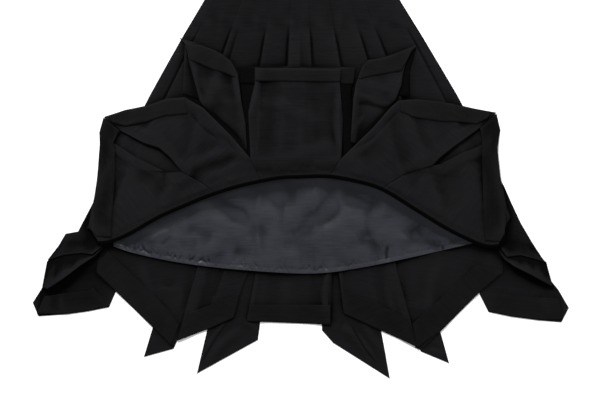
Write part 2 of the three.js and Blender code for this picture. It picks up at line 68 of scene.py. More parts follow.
# the height of what already lies on the floor, and which piece lies on top, on a plan grid
mapCell = 2.0
mapHalf = np.array([620.0, 500.0])
heights = np.zeros((int(2 * mapHalf[1] / mapCell) + 1, int(2 * mapHalf[0] / mapCell) + 1))
owners = np.full(heights.shape, -1)
laidPieces, stitchRuns = [], []


def mapIndex(x, y):
    return tuple(np.clip(np.rint((value + half) / mapCell).astype(int), 0, count - 1)
                 for value, half, count in zip((y, x), mapHalf[::-1], heights.shape))


def spreadMap(source, radius):
    # the highest value within a radius of every map cell
    reach = int(math.ceil(radius / mapCell))
    result = source.copy()
    for j in range(-reach, reach + 1):
        for i in range(-reach, reach + 1):
            if 0 < i * i + j * j <= (reach + 0.4) ** 2:
                result = np.maximum(result, np.roll(source, (j, i), (0, 1)))
    return result


def blurMap(source, radius):
    # the mean round every map cell
    size = 2 * int(radius / mapCell) + 1
    for axis in (0, 1):
        edges = [(size // 2 + 1, size // 2) if a == axis else (0, 0) for a in (0, 1)]
        padded = np.pad(source, edges, mode="edge")
        total = np.cumsum(padded, axis)
        ahead, behind = [slice(None)] * 2, [slice(None)] * 2
        ahead[axis], behind[axis] = slice(size, None), slice(None, -size)
        source = (total[tuple(ahead)] - total[tuple(behind)]) / size
    return source


def refine(grid, count):
    # puts count - 1 new points between the points of a grid, both ways
    for axis in (0, 1):
        steps = np.linspace(0, grid.shape[axis] - 1, (grid.shape[axis] - 1) * count + 1)
        low = np.minimum(steps.astype(int), grid.shape[axis] - 2)
        share = (steps - low).reshape((-1, 1, 1) if axis == 0 else (1, -1, 1))
        grid = np.take(grid, low, axis) * (1 - share) + np.take(grid, low + 1, axis) * share
    return grid


def smoothLine(points, count):
    # a smooth curve through points, as evenly counted places
    knots = np.array(points, float)
    ends = np.vstack([2 * knots[0] - knots[1], knots, 2 * knots[-1] - knots[-2]])
    places = []
    for k in range(len(knots) - 1):
        a, b, c, d = ends[k:k + 4]
        for share in np.linspace(0, 1, count, endpoint=k == len(knots) - 2):
            places.append(0.5 * (2 * b + (c - a) * share + (2 * a - 5 * b + 4 * c - d) * share ** 2
                                 + (3 * b - a - 3 * c + d) * share ** 3))
    return np.array(places)


foldLine = smoothLine([  # where the front hem is turned up
    (-441, -137), (-419, -148), (-399, -152), (-377, -148), (-343, -133.5), (-287, -101.5), (-233, -77.5),
    (-180, -56), (-118, -37), (-46, -22.5), (-1, -20), (55, -19), (109, -28), (165, -45), (238, -89),
    (299, -126), (361, -155), (391, -158), (413, -147), (437, -105),
], 14)
liningHem = smoothLine([
    (-376, -163), (-339, -176), (-265, -192.5), (-191, -203.5), (-117, -211), (-11, -218), (53, -216.5),
    (127, -205.5), (201, -190.5), (275, -174), (358.5, -154.5),
], 12)


def onLine(line, x, inset):
    # the points of a line at x, moved up the skirt, and the way out of the cloth there
    at = np.clip(np.searchsorted(line[:, 0], x), 1, len(line) - 1)
    start, end = line[at - 1], line[at]
    share = ((x - start[:, 0]) / (end[:, 0] - start[:, 0]))[:, None]
    along = (end - start) / np.linalg.norm(end - start, axis=1)[:, None]
    outward = np.stack([along[:, 1], -along[:, 0]], 1)
    return start + (end - start) * share - outward * inset, outward


def planGrid(piece):
    # columns run from edge a to edge b of each section, rows from the first section to the last;
    # a section is ax, ay, bx, by and, where the cloth is lifted, how far at a and at b
    cell = piece.get("cell", clothSizes["fineCell"])
    sections = np.array([list(row) + [0] * (6 - len(row)) for row in piece["sections"]], float)
    widest = np.hypot(sections[:, 2] - sections[:, 0], sections[:, 3] - sections[:, 1]).max()
    shares = piece.get("shares")
    if shares is None:
        shares = np.linspace(0, 1, max(2, round(widest / piece.get("acrossCell", cell))) + 1)
    rowCells = piece.get("rowCells", [cell] * (len(sections) - 1))
    lines = []
    for ax, ay, bx, by, aLift, bLift in sections:
        tuck = 0.15 / max(1.0, math.hypot(bx - ax, by - ay))  # keeps side edges off those below
        across = (tuck + (1 - 2 * tuck) * shares)[:, None]
        lines.append(np.array([ax, ay, aLift]) * (1 - across) + np.array([bx, by, bLift]) * across)
    outward = None
    if "endLine" in piece:
        lines[-1][:, :2], outward = onLine(piece["endLine"], lines[-1][:, 0], piece["endInset"])
    rows = [lines[0]]
    for start, end, rowCell in zip(lines, lines[1:], rowCells):
        reach = np.hypot(*(end - start)[:, :2].T).max()
        count = max(1, round(reach / rowCell))
        even = np.arange(1, count + 1) / count
        if end is lines[-1] and piece.get("denseEnd"):
            even = 1 - (1 - even) ** piece["denseEnd"]
        rows += [start + (end - start) * share for share in even]
    return np.array(rows), shares, outward


def creaseHeights(creases, x, y):
    # the sum of ridges and troughs, each along a slightly bowed line: x1, y1, x2, y2, width, height and
    # perhaps a kind with one steep side: "slope", raised on the line's left, or "dent", sunk on its right
    total = np.zeros_like(x)
    for x1, y1, x2, y2, width, height, *kind in creases:
        length = math.hypot(x2 - x1, y2 - y1)
        alongX, alongY = (x2 - x1) / length, (y2 - y1) / length
        along = ((x - x1) * alongX + (y - y1) * alongY) / length
        side = (y - y1) * alongX - (x - x1) * alongY
        side = side + clothSizes["bow"] * length * math.sin(x1 + y2) * np.clip(along * (1 - along), 0, 1)
        ends = np.clip(np.minimum(along, 1 - along) / 0.4 + 0.35, 0, 1)
        fade = ends * ends * (3 - 2 * ends)
        if not kind:
            total += height * fade * np.exp(-(side / width) ** 2)
        elif kind == ["slope"]:
            fall = np.exp(-(np.maximum(np.abs(side) - width, 0) / (2.5 * width)) ** 2)
            total += height * fade * fall / (1 + np.exp(-2 * side / width))
        else:
            fall = np.exp(-(np.maximum(-side - width, 0) / (2.5 * width)) ** 2)
            total -= height * fade * fall / (1 + np.exp(np.clip(2 * side / width, -30, 30)))
    return total


def stiffen(needed, plan):
    # cloth can't drop steeply past an edge that lifts it
    for axis in (0, 1):
        apart = np.linalg.norm(np.diff(plan, axis=axis), axis=2) * clothSizes["steepest"]
        for step in range(needed.shape[axis] - 1):
            for back in (False, True):
                at = needed.shape[axis] - 1 - step if back else step
                to = at - 1 if back else at + 1
                drop = apart[(slice(None),) * axis + (min(at, to),)]
                here = (slice(None),) * axis + (at,)
                there = (slice(None),) * axis + (to,)
                needed[there] = np.maximum(needed[there], needed[here] - drop)
    return needed


def fair(needed, rounds):
    # a taut smooth surface over what it rests on
    z = needed.copy()
    for _ in range(rounds):
        padded = np.pad(z, 1, mode="edge")
        mean = (padded[:-2, 1:-1] + padded[2:, 1:-1] + padded[1:-1, :-2] + padded[1:-1, 2:]) / 4
        z = np.maximum(needed, mean)
    return z


def settle(piece, plan, shares):
    # the height of every point of a piece laid on what is there
    spread = spreadMap(heights, piece.get("cell", clothSizes["fineCell"]) * clothSizes["lookRound"])
    x, y, lift = plan[..., 0], plan[..., 1], plan[..., 2]
    needed = spread[mapIndex(x, y)]
    needed = np.where(needed > 0, needed + clothSizes["gap"], 0)
    low = fair(stiffen(needed.copy(), plan[..., :2]), piece.get("fair", clothSizes["fairRounds"]))
    relief = creaseHeights(piece.get("creases", []), x, y)
    if "relief" in piece:
        relief = relief + piece["relief"](x, y, np.broadcast_to(shares, x.shape))
    return np.maximum(needed, low + lift + piece.get("loft", 0.0) + relief)


def rollUnder(outer, inner, outward, thick, lowMap):
    # carries the last row over the fold, down and a little way back below itself
    reach, back = foldSizes["reach"], foldSizes["back"]
    last = outer[-1]
    lowest = spreadMap(lowMap, reach + back)[mapIndex(last[:, 0], last[:, 1])] + clothSizes["gap"] + thick / 2
    lowest = np.convolve(np.pad(lowest, 4, mode="edge"), np.ones(9) / 9, "valid")  # the mean of nine columns
    short = np.maximum(0, lowest + foldSizes["leastHeight"] - last[:, 2] + thick / 2)
    steps = np.linalg.norm(np.diff(outer[::-1, :, :2], axis=0), axis=2)
    away = np.concatenate([np.zeros((1, len(last))), np.cumsum(steps, 0)])[::-1]
    near = np.clip(1 - away / foldSizes["climb"], 0, 1)
    climb = near * near * (3 - 2 * near) * short
    outer[..., 2] += climb
    inner[..., 2] += climb
    top = outer[-1, :, 2] - thick / 2
    shape = [(0.0, 0.0)] + foldSizes["profile"] + [(foldSizes["profile"][-1][0] - back / reach, 1.0)]
    outRows, inRows = [], []
    for k in range(1, len(shape)):
        before, here, after = shape[k - 1], shape[k], shape[min(k + 1, len(shape) - 1)]
        run, height = reach * here[0], top - (top - lowest) * here[1]
        slope = (after[1] - before[1]) * (top - lowest)
        normal = np.stack([slope, np.full_like(top, (after[0] - before[0]) * reach)], 1)
        normal /= np.linalg.norm(normal, axis=1)[:, None]
        for rows, side in ((outRows, thick / 2), (inRows, -thick / 2)):
            place = last[:, :2] + outward * (run + normal[:, :1] * side)
            rows.append(np.column_stack([place, height + normal[:, 1] * side]))
    return np.concatenate([outer, outRows]), np.concatenate([inner, inRows])


def crossed(first, second):
    return first[..., 0] * second[..., 1] - first[..., 1] * second[..., 0]


def linkObject(name, data):
    made = bpy.data.objects.new(name, data)
    bpy.context.scene.collection.objects.link(made)
    return made


def meshFromWalls(name, outer, inner, grain, material):
    # closes an outer and an inner wall into one shell with a rounded rim; grain turns the weave, in degrees
    rows, columns = outer.shape[:2]
    border = [(0, c) for c in range(columns)] + [(r, columns - 1) for r in range(1, rows)]
    border += [(rows - 1, c) for c in range(columns - 2, -1, -1)] + [(r, 0) for r in range(rows - 2, 0, -1)]
    rim = []
    for k, (r, c) in enumerate(border):
        along = outer[border[(k + 1) % len(border)]] - outer[border[k - 1]]
        way = np.array([along[1], -along[0], 0.0])
        way /= max(1e-6, np.linalg.norm(way))
        inside = outer[min(max(r, 1), rows - 2), min(max(c, 1), columns - 2)]
        if np.dot(way, outer[r, c] - inside) < 0:
            way = -way
        thick = np.linalg.norm(outer[r, c] - inner[r, c])
        rim.append((outer[r, c] + inner[r, c]) / 2 + way * thick * clothSizes["rimOut"])
    points = np.concatenate([outer.reshape(-1, 3), inner.reshape(-1, 3), np.array(rim)])
    index = np.arange(rows * columns).reshape(rows, columns)
    quads = np.stack([index[:-1, :-1], index[1:, :-1], index[1:, 1:], index[:-1, 1:]], -1).reshape(-1, 4)
    skip, rimStart = rows * columns, 2 * rows * columns
    faces = quads.tolist() + (quads[:, ::-1] + skip).tolist()
    for k, corner in enumerate(border):
        here, there = index[corner], index[border[(k + 1) % len(border)]]
        rimHere, rimThere = rimStart + k, rimStart + (k + 1) % len(border)
        faces.append((here, there, rimThere, rimHere))
        faces.append((rimHere, rimThere, there + skip, here + skip))
    if crossed(outer[:-1, :-1] - outer[1:, 1:], outer[1:, :-1] - outer[:-1, 1:]).sum() < 0:
        faces = [tuple(reversed(face)) for face in faces]
    mesh = bpy.data.meshes.new(name)
    mesh.from_pydata((points * mm).tolist(), [], [tuple(int(v) for v in face) for face in faces])
    weave = mesh.uv_layers.new(name="weave")
    loops = np.empty(len(mesh.loops), int)
    mesh.loops.foreach_get("vertex_index", loops)
    cos, sin = math.cos(math.radians(grain)), math.sin(math.radians(grain))
    flat = points[:, :2] * mm
    turned = np.stack([flat[:, 0] * cos + flat[:, 1] * sin, flat[:, 1] * cos - flat[:, 0] * sin], 1)
    weave.data.foreach_set("uv", turned[loops].ravel())
    mesh.polygons.foreach_set("use_smooth", [True] * len(mesh.polygons))
    mesh.materials.append(material)
    mesh.validate()
    return linkObject(name, mesh)


def flatSize(outer, inner):
    # the width and length of the smallest rectangle round the piece, lengthened by what its relief takes up,
    # and half the surface of the shell
    area = 0.0
    for wall in (outer, inner):
        for a, b, c in ((wall[:-1, :-1], wall[1:, :-1], wall[1:, 1:]),
                        (wall[:-1, :-1], wall[1:, 1:], wall[:-1, 1:])):
            area += np.linalg.norm(np.cross(b - a, c - a), axis=2).sum() / 2
    middle = (outer + inner) / 2
    across, along = middle[:-1, :-1] - middle[1:, 1:], middle[1:, :-1] - middle[:-1, 1:]
    planArea = np.abs(crossed(across, along)).sum() / 2
    width, length = 1e9, 1e9
    for degrees in range(0, 90, 3):
        turn = math.radians(degrees)
        one = middle[..., 0] * math.cos(turn) + middle[..., 1] * math.sin(turn)
        other = middle[..., 1] * math.cos(turn) - middle[..., 0] * math.sin(turn)
        if np.ptp(one) * np.ptp(other) < width * length:
            width, length = np.ptp(one), np.ptp(other)
    slack = math.sqrt(max(1.0, area / 2 / planArea))
    area = min(area / 2, width * length * slack * slack)
    return width * slack * mm, length * slack * mm, area * mm * mm


def stitchPath(line):
    # a row of stitches on the cloth that lies on top just now
    points = np.array(line, float)
    dense = []
    for a, b in zip(points, points[1:]):
        count = max(2, int(np.hypot(*(b - a)) / (2 * mapCell)))
        dense += [a + (b - a) * t for t in np.linspace(0, 1, count, endpoint=False)]
    dense = np.array(dense + [points[-1]])
    return np.column_stack([dense, heights[mapIndex(dense[:, 0], dense[:, 1])]])


def layLayer(group, pieces, lowMap=None):
    # settles every piece of a layer on what lies there, and only then adds them to it
    start = len(laidPieces)
    for piece in pieces:
        plan, shares, outward = planGrid(piece)
        inner = plan.copy()
        inner[..., 2] = settle(piece, plan, shares)
        outer = inner.copy()
        outer[..., 2] += thickness[group]
        under = owners[mapIndex(plan[..., 0], plan[..., 1])]
        below = [laidPieces[k]["made"].name for k in np.unique(under[under >= 0])
                 if (under == k).mean() > clothSizes["restShare"]]
        flatRows = len(outer)
        if "turned" in piece:
            outer, inner = rollUnder(outer, inner, outward, thickness[group], lowMap)
            flatRows += 2
        made = meshFromWalls(piece["name"] + "_cloth", outer, inner, piece.get("grain", 0), materials[group])
        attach(made, "root")
        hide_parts(piece["name"])
        laidPieces.append({"made": made, "piece": piece, "outer": outer, "flatRows": flatRows,
                           "flat": flatSize(outer, inner), "below": below or ["floor"]})
    for owner in range(start, len(laidPieces)):
        before = heights.copy()
        dense = refine(laidPieces[owner]["outer"], 4).reshape(-1, 3)
        np.maximum.at(heights, mapIndex(dense[:, 0], dense[:, 1]), dense[:, 2])
        owners[heights > before] = owner
    for laid in laidPieces[start:]:
        for line in laid["piece"].get("stitches", []):
            stitchRuns.append((laid["made"].name, stitchPath(line)))


def markHollows(laid):
    # painted shade: how deep each point lies among what is round it, near by and farther off, with raised
    # places below zero and painted lighter; plus the piece's own painted shade from edge a to edge b; painted
    # darker along the fold and below it
    piece, rows, columns = laid["piece"], *laid["outer"].shape[:2]
    count = len(laid["made"].data.vertices)
    place = np.empty(count * 3)
    laid["made"].data.vertices.foreach_get("co", place)
    place = place.reshape(-1, 3) / mm
    index = mapIndex(place[:, 0], place[:, 1])
    hollow = np.zeros(count)
    for around, share, depth in hollowMaps:
        deep = np.clip((around[index] - place[:, 2]) / depth, -1, 1)
        hollow += piece.get("hollows", 1.0) * share * deep
    past = np.interp(place[:, 0], foldLine[:, 0], foldLine[:, 1]) - place[:, 1] - foldSizes["reach"]
    hollow += piece.get("underFold", 0.0) * np.exp(-np.maximum(past, 0) / foldSizes["shadeReach"])
    shadeA, shadeB = piece.get("shade", (0, 0))
    walls = hollow[:2 * rows * columns]
    walls += np.tile(shadeA + (shadeB - shadeA) * np.tile(np.linspace(0, 1, columns), rows), 2)
    if "turned" in piece:
        above = np.maximum(-past - foldSizes["reach"], 0)
        hollow += foldSizes["edgeShade"] * np.exp(-above / foldSizes["edgeReach"])
        down = foldSizes["edgeShade"] + (np.arange(rows) - laid["flatRows"]) * foldSizes["wallShade"]
        onWall = np.tile(np.repeat(np.arange(rows) >= laid["flatRows"], columns), 2)
        walls[onWall] = np.tile(np.repeat(down, columns), 2)[onWall]
    mark = laid["made"].data.attributes.new("hollow", "FLOAT", "POINT")
    mark.data.foreach_set("value", np.clip(hollow, -1, 1))


# --- materials: masks and heights come from shared groups, colours from each look's own dictionary


def setInputs(tree, node, inputs):
    # each input gets a value, or a link where the value is another node's output
    for label, value in inputs.items():
        if isinstance(value, bpy.types.NodeSocket):
            tree.links.new(value, node.inputs[label])
        else:
            node.inputs[label].default_value = value


def addNode(tree, kind, inputs=None, **settings):
    node = tree.nodes.new(kind)
    for label, value in settings.items():
        setattr(node, label, value)
    setInputs(tree, node, inputs or {})
    return node


def mathNode(tree, operation, first, second=0.0, third=0.0, clamp=False):
    return addNode(tree, "ShaderNodeMath", {0: first, 1: second, 2: third},
                   operation=operation, use_clamp=clamp).outputs[0]


def noiseNode(tree, vector, scale, detail, stretch=(1, 1, 1), shift=0.0):
    place = addNode(tree, "ShaderNodeMapping",
                    {"Vector": vector, "Location": (shift, shift, 0), "Scale": stretch})
    return addNode(tree, "ShaderNodeTexNoise",
                   {"Vector": place.outputs[0], "Scale": scale, "Detail": detail}).outputs["Fac"]


def mixNode(tree, amount, first, second):
    ends = [(*value, 1) if isinstance(value, tuple) else value for value in (first, second)]
    return addNode(tree, "ShaderNodeMix", {"Factor": amount, "A": ends[0], "B": ends[1]},
                   data_type="RGBA").outputs["Result"]


def nodeGroup(name, vector, numbers, results):
    # a group with one vector input, number inputs with their values, and number outputs
    group = bpy.data.node_groups.new(name, "ShaderNodeTree")
    group.interface.new_socket(vector, in_out="INPUT", socket_type="NodeSocketVector")
    for label, value in numbers.items():
        group.interface.new_socket(label, in_out="INPUT", socket_type="NodeSocketFloat").default_value = value
    for label in results:
        group.interface.new_socket(label, in_out="OUTPUT", socket_type="NodeSocketFloat")
    return group, group.nodes.new("NodeGroupInput").outputs, group.nodes.new("NodeGroupOutput")


weaveSizes = {  # noise cells per metre along and across the weft, and heights against each other
    "slubs": (34, 620, 1),
    "broadSlubs": (14, 260, 1),
    "slubHeight": 1.6,
    "rib": 0.3,
    "warp": 0.12,
    "threadHeight": 0.4,
    "waves": 30.0,  # how close the cloth's slight waves lie
    "waveHeight": 7.0,
}
satinSizes = {
    "streaks": (26, 360, 1),
    "streakShare": 0.6,  # of the streaks in the light and dark; the rest is clouds
    "streakHeight": 0.3,
    "clouds": 22.0,
    "cloudHeight": 1.5,
}


def spreadNode(tree, mask, unevenness):
    # pulls a mask apart round its middle
    return mathNode(tree, "MULTIPLY_ADD", mathNode(tree, "SUBTRACT", mask, 0.5), unevenness, 0.5, True)


def ribbedWeave(sizes):
    # cross ribs with slubs: thick places of the weft that catch the light
    group, given, out = nodeGroup(
        "ribbed weave", "Grain", {"Ribs": 1500.0, "Unevenness": 0.5}, ("Slub", "Height"))
    split = addNode(group, "ShaderNodeSeparateXYZ", {0: given["Grain"]}).outputs
    fine = noiseNode(group, given["Grain"], 1.0, 2.0, sizes["slubs"])
    broad = noiseNode(group, given["Grain"], 1.0, 2.0, sizes["broadSlubs"], 3.7)
    both = mathNode(group, "MULTIPLY_ADD", broad, 0.5, mathNode(group, "MULTIPLY", fine, 0.5))
    slub = spreadNode(group, both, given["Unevenness"])
    rib, warp = (mathNode(group, "SINE", mathNode(group, "MULTIPLY", split[axis], given["Ribs"]))
                 for axis in "YX")
    thread = mathNode(group, "MULTIPLY_ADD", rib, sizes["rib"],
                      mathNode(group, "MULTIPLY", warp, sizes["warp"]))
    swell = noiseNode(group, given["Grain"], sizes["waves"], 2.0, (1, 1.6, 1), 8.2)
    body = mathNode(group, "MULTIPLY_ADD", slub, sizes["slubHeight"],
                    mathNode(group, "MULTIPLY", swell, sizes["waveHeight"]))
    height = mathNode(group, "MULTIPLY_ADD", thread, sizes["threadHeight"], body)
    setInputs(group, out, {"Slub": slub, "Height": height})
    return group


def satinWeave(sizes):
    # fine streaks along the weft in cloudy patches
    group, given, out = nodeGroup("satin weave", "Grain", {"Unevenness": 0.5}, ("Streak", "Height"))
    fine = noiseNode(group, given["Grain"], 1.0, 3.0, sizes["streaks"])
    cloud = noiseNode(group, given["Grain"], sizes["clouds"], 3.0, (1, 1.4, 1), 1.3)
    both = mathNode(group, "MULTIPLY_ADD", cloud, 1 - sizes["streakShare"],
                    mathNode(group, "MULTIPLY", fine, sizes["streakShare"]))
    height = mathNode(group, "MULTIPLY_ADD", cloud, sizes["cloudHeight"],
                      mathNode(group, "MULTIPLY", fine, sizes["streakHeight"]))
    setInputs(group, out, {"Streak": spreadNode(group, both, given["Unevenness"]), "Height": height})
    return group


def lintAndWear():
    # specks of lint, and cloudy places that have been handled
    group, given, out = nodeGroup(
        "lint and wear", "Place", {"Lint": 0.5, "Handled": 0.5}, ("Lint", "Handled"))
    specks = noiseNode(group, given["Place"], 420.0, 1.0)
    clouds = noiseNode(group, given["Place"], 7.0, 3.0, (1, 1, 1), 5.1)
    for label, mask, least, contrast in (("Lint", specks, 0.7, 8.0), ("Handled", clouds, 0.42, 3.0)):
        past = mathNode(group, "MULTIPLY", mathNode(group, "SUBTRACT", mask, least), contrast, clamp=True)
        setInputs(group, out, {label: mathNode(group, "MULTIPLY", past, given[label])})
    return group


weaveGroup, satinGroup, wearGroup = ribbedWeave(weaveSizes), satinWeave(satinSizes), lintAndWear()


def newMaterial(name):
    material = bpy.data.materials.new(name)
    material.use_nodes = True
    return material, material.node_tree, material.node_tree.nodes["Principled BSDF"]


def wearOn(tree, lint, handled):
    # the lint and wear group, placed in a material with its own values
    wear = addNode(tree, "ShaderNodeGroup", node_tree=wearGroup)
    place = addNode(tree, "ShaderNodeTexCoord").outputs["Object"]
    setInputs(tree, wear, {"Place": place, "Lint": lint, "Handled": handled})
    return wear.outputs


def clothMaterial(look):
    material, tree, shader = newMaterial(look["name"])
    grain = addNode(tree, "ShaderNodeUVMap", uv_map="weave").outputs[0]
    given = {"Grain": grain, "Unevenness": look["unevenness"]}
    if "ribPitch" in look:
        given["Ribs"] = 2 * math.pi / (look["ribPitch"] * mm)
    weave = addNode(tree, "ShaderNodeGroup", node_tree=weaveGroup if "ribPitch" in look else satinGroup)
    setInputs(tree, weave, given)
    wear = wearOn(tree, look["lint"], look["handled"])
    # painted shade: the hollow attribute darkens hollows, and paints raised places lighter as wear and as
    # painted highlight
    hollow = addNode(tree, "ShaderNodeAttribute", attribute_name="hollow").outputs["Fac"]
    colour = mixNode(tree, weave.outputs[0], look["dark"], look["light"])
    colour = mixNode(tree, wear["Handled"], colour, look["wornAndLit"])
    deep = mathNode(tree, "MULTIPLY", hollow, look["deepening"], clamp=True)
    rubbedAndLit = mathNode(tree, "MULTIPLY", hollow, -look["raisedWearAndLight"], clamp=True)
    colour = mixNode(tree, deep, colour, look["deep"])
    colour = mixNode(tree, rubbedAndLit, colour, look["wornAndLit"])
    colour = mixNode(tree, wear["Lint"], colour, look["lintColour"])
    rough = mathNode(tree, "MULTIPLY_ADD", weave.outputs[0], -look["roughnessSpread"], look["roughness"])
    bump = addNode(tree, "ShaderNodeBump", {
        "Strength": look["bump"], "Distance": look["bumpDistance"] * mm, "Height": weave.outputs["Height"]})
    setInputs(tree, shader, {
        "Base Color": colour,
        "Roughness": mathNode(tree, "MULTIPLY_ADD", wear["Handled"], -0.03, rough),
        "Normal": bump.outputs[0],
        "Specular IOR Level": look["specular"],
        "Sheen Weight": look["sheen"],
        "Sheen Roughness": look["sheenRoughness"],
        "Sheen Tint": (*look["sheenColour"], 1),
        "Anisotropic": look["anisotropy"],
    })
    return material


blackCloth = {
    "name": "black ribbed cloth",
    "dark": (0.0036, 0.0036, 0.0042),  # between the slubs
    "light": (0.0076, 0.0076, 0.0084),
    # the worn colour serves the handled clouds and also paints raised places lighter as painted highlight
    "wornAndLit": (0.0092, 0.0092, 0.0100),
    "lintColour": (0.022, 0.022, 0.022),
    "deep": (0.0006, 0.0006, 0.0007),  # painted shade colour of the hollows
    # how strongly the painted shade darkens the hollows
    "deepening": 1.7,
    "raisedWearAndLight": 0.45,  # how much the raised places are painted lighter, partly as wear, partly as painted highlight
    "unevenness": 1.6,
    "ribPitch": 0.9,  # in millimetres; a satin has none
    "lint": 0.15,
    "handled": 0.35,
    "roughness": 0.86,
    "roughnessSpread": 0.12,
    "specular": 0.03,
    "anisotropy": 0.0,
    "sheen": 0.006,
    "sheenRoughness": 0.4,
    "sheenColour": (0.7, 0.7, 0.75),
    "bump": 0.5,
    "bumpDistance": 0.25,
}
# the same cloth with darker colours: painted shade for facings, whose turned grain catches less light
facingCloth = dict(blackCloth, name="black facing",
                   dark=(0.0022, 0.0022, 0.0024), light=(0.0052, 0.0052, 0.0056))
bandCloth = dict(blackCloth, name="black waistband", bump=0.35, handled=0.5)
liningCloth = {
    "name": "slate satin lining",
    "dark": (0.0080, 0.0085, 0.0120),
    "light": (0.0215, 0.0228, 0.0295),
    # the worn colour serves the handled clouds and the painted lightening of raised places; deep gives the
    # painted shade of the hollows
    "wornAndLit": (0.0240, 0.0258, 0.0335),
    "lintColour": (0.09, 0.09, 0.10),
    "deep": (0.0018, 0.0022, 0.0042),
    "deepening": 3.0,
    "raisedWearAndLight": 0.5,
    "unevenness": 2.7,
    "lint": 0.2,
    "handled": 0.3,
    "roughness": 0.47,
    "roughnessSpread": 0.08,
    "specular": 0.22,
    "anisotropy": 0.4,
    "sheen": 0.05,
    "sheenRoughness": 0.3,
    "sheenColour": (0.8, 0.85, 1.0),
    "bump": 0.3,
    "bumpDistance": 0.2,
}
looks = {"cloth": blackCloth, "facing": facingCloth, "waistband": bandCloth, "lining": liningCloth}
materials = {group: clothMaterial(look) for group, look in looks.items()}
print("materials made")


# --- the back of the skirt: pleat underlays on the floor, then the gores, their facings and the lining
# A piece has sections and may have creases, stitches and:
#   cell, acrossCell, rowCells, denseEnd, shares - its mesh cells, those across, those between two sections,
#     how much closer its last rows lie, and the places of its columns
#   endLine, endInset - the line of its last row, and how far up the skirt from it that row lies
#   grain - the turn of its weave, in degrees
#   loft, fair, relief - how far it stands off, its rounds of smoothing, and its own heights
#   shade, hollows, underFold - its painted shade at edges a and b, its painted shade in hollows, and painted
#   shadow below the fold

layLayer("cloth", [
    {"name": "back_pleat_1", "cell": 3, "sections": [
        (-277, -251, -245, -251), (-296.5, -327.5, -246.5, -351.5), (-314, -385.5, -254.5, -369)]},
    {"name": "back_pleat_2", "cell": 3, "grain": 14, "sections": [
        (-105, -121, -57, -121), (-173, -283, -83, -283), (-187, -331, -81, -316),
        (-195, -365, -85.5, -351.5), (-207.5, -419, -202, -415.5)],
     "creases": [
        (-133, -303, -203, -413, 2, -2.2), (-145, -311, -201, -395, 7, 1.6),
        (-121, -331, -185, -399, 9, 2.6), (-132, -309, -83, -349, 2.4, -2.2),
        (-113, -315, -83, -335, 6, 1.4)]},
    {"name": "back_pleat_3", "cell": 3, "grain": -12, "sections": [
        (49, -101, 103, -101), (43, -283, 149, -283), (43, -332, 162, -335), (65, -357, 166.5, -359),
        (173, -425, 179, -429)],
     "creases": [
        (95, -303, 174, -421, 2, -2.4), (123, -315, 171, -387, 8, 1.5), (79, -323, 147, -395, 9, 2.6),
        (91, -305, 63, -355, 2, -1.2)]},
    {"name": "back_pleat_4", "cell": 3, "grain": -12, "sections": [
        (215, -283, 271, -283), (234.5, -343, 280.5, -335), (241, -374.5, 290, -369),
        (293, -396, 298, -398.5)],
     "creases": [(245.5, -366, 280.5, -344, 2.4, -1.8), (259, -371, 291, -385, 6, 1.6)]},
    {"name": "side_pleat_lower_left", "shade": (0.62, 0.06), "grain": 4, "sections": [
        (-518, -247, -537, -277), (-504, -215, -525.5, -304), (-471, -175, -467.5, -300),
        (-435, -172, -427, -294.5), (-409, -169, -384, -286), (-393, -158, -370, -253.5)],
     "creases": [
        (-503, -263, -511, -299, 6, 2.6), (-489, -265, -493, -301, 5, -1.2),
        (-481, -263, -473, -297, 6, 1.2), (-425, -249, -389, -281, 3, 0.8)]},
    {"name": "side_pleat_lower_right", "hollows": 0.6, "shade": (0.3, -0.05), "grain": -3,
     "sections": [
        (517, -251, 538, -287), (496, -225, 523, -316), (461, -183, 478.5, -312.5), (431, -177, 423, -305),
        (409, -175, 377, -295.5), (391, -165, 359, -260)],
     "creases": [
        (487, -265, 499, -305, 6, 2.4), (501, -265, 515, -299, 5, 1.8), (475, -267, 481, -307, 5, -1.2),
        (425, -247, 397, -277, 3, 0.8)]},
])
layLayer("waistband", [
    {"name": "waistband_back", "held": "folded", "sections": [
        (-162, 429, 168.5, 429), (-171.5, 396, 178, 396)]},
])
layLayer("cloth", [
    {"name": "back_outer_left", "shade": (0.08, 0.08), "cell": 6, "grain": 12, "sections": [
        (-172, 395.5, -105, 395.5), (-192, 329, -113, 329), (-301, 139, -145, 139), (-401, -71, -173, -71),
        (-405, -181, -193, -181), (-409, -216.5, -203, -221), (-353, -271, -221, -283),
        (-296.5, -325.5, -237, -339), (-257, -365, -247, -352)],
     "creases": [
        (-321, -195, -281, -307, 12, 1.4), (-209, -207, -239, -315, 7, 1.6),
        (-261, -211, -257, -321, 9, -1.0)]},
    {"name": "back_outer_right", "shade": (0.04, 0.06), "cell": 6, "grain": -12, "sections": [
        (107, 395.5, 178.5, 395.5), (113, 329, 198.5, 329), (137, 139, 299, 139), (161, -71, 395, -71),
        (177, -181, 407, -181), (187, -221, 406, -218), (207, -283, 356.5, -259), (221, -331, 280.5, -335),
        (230, -367, 240, -371)],
     "creases": [
        (195, -207, 229, -351, 6, 1.6), (279, -195, 259, -315, 11, 1.3), (335, -187, 309, -271, 9, -1.0)]},
])
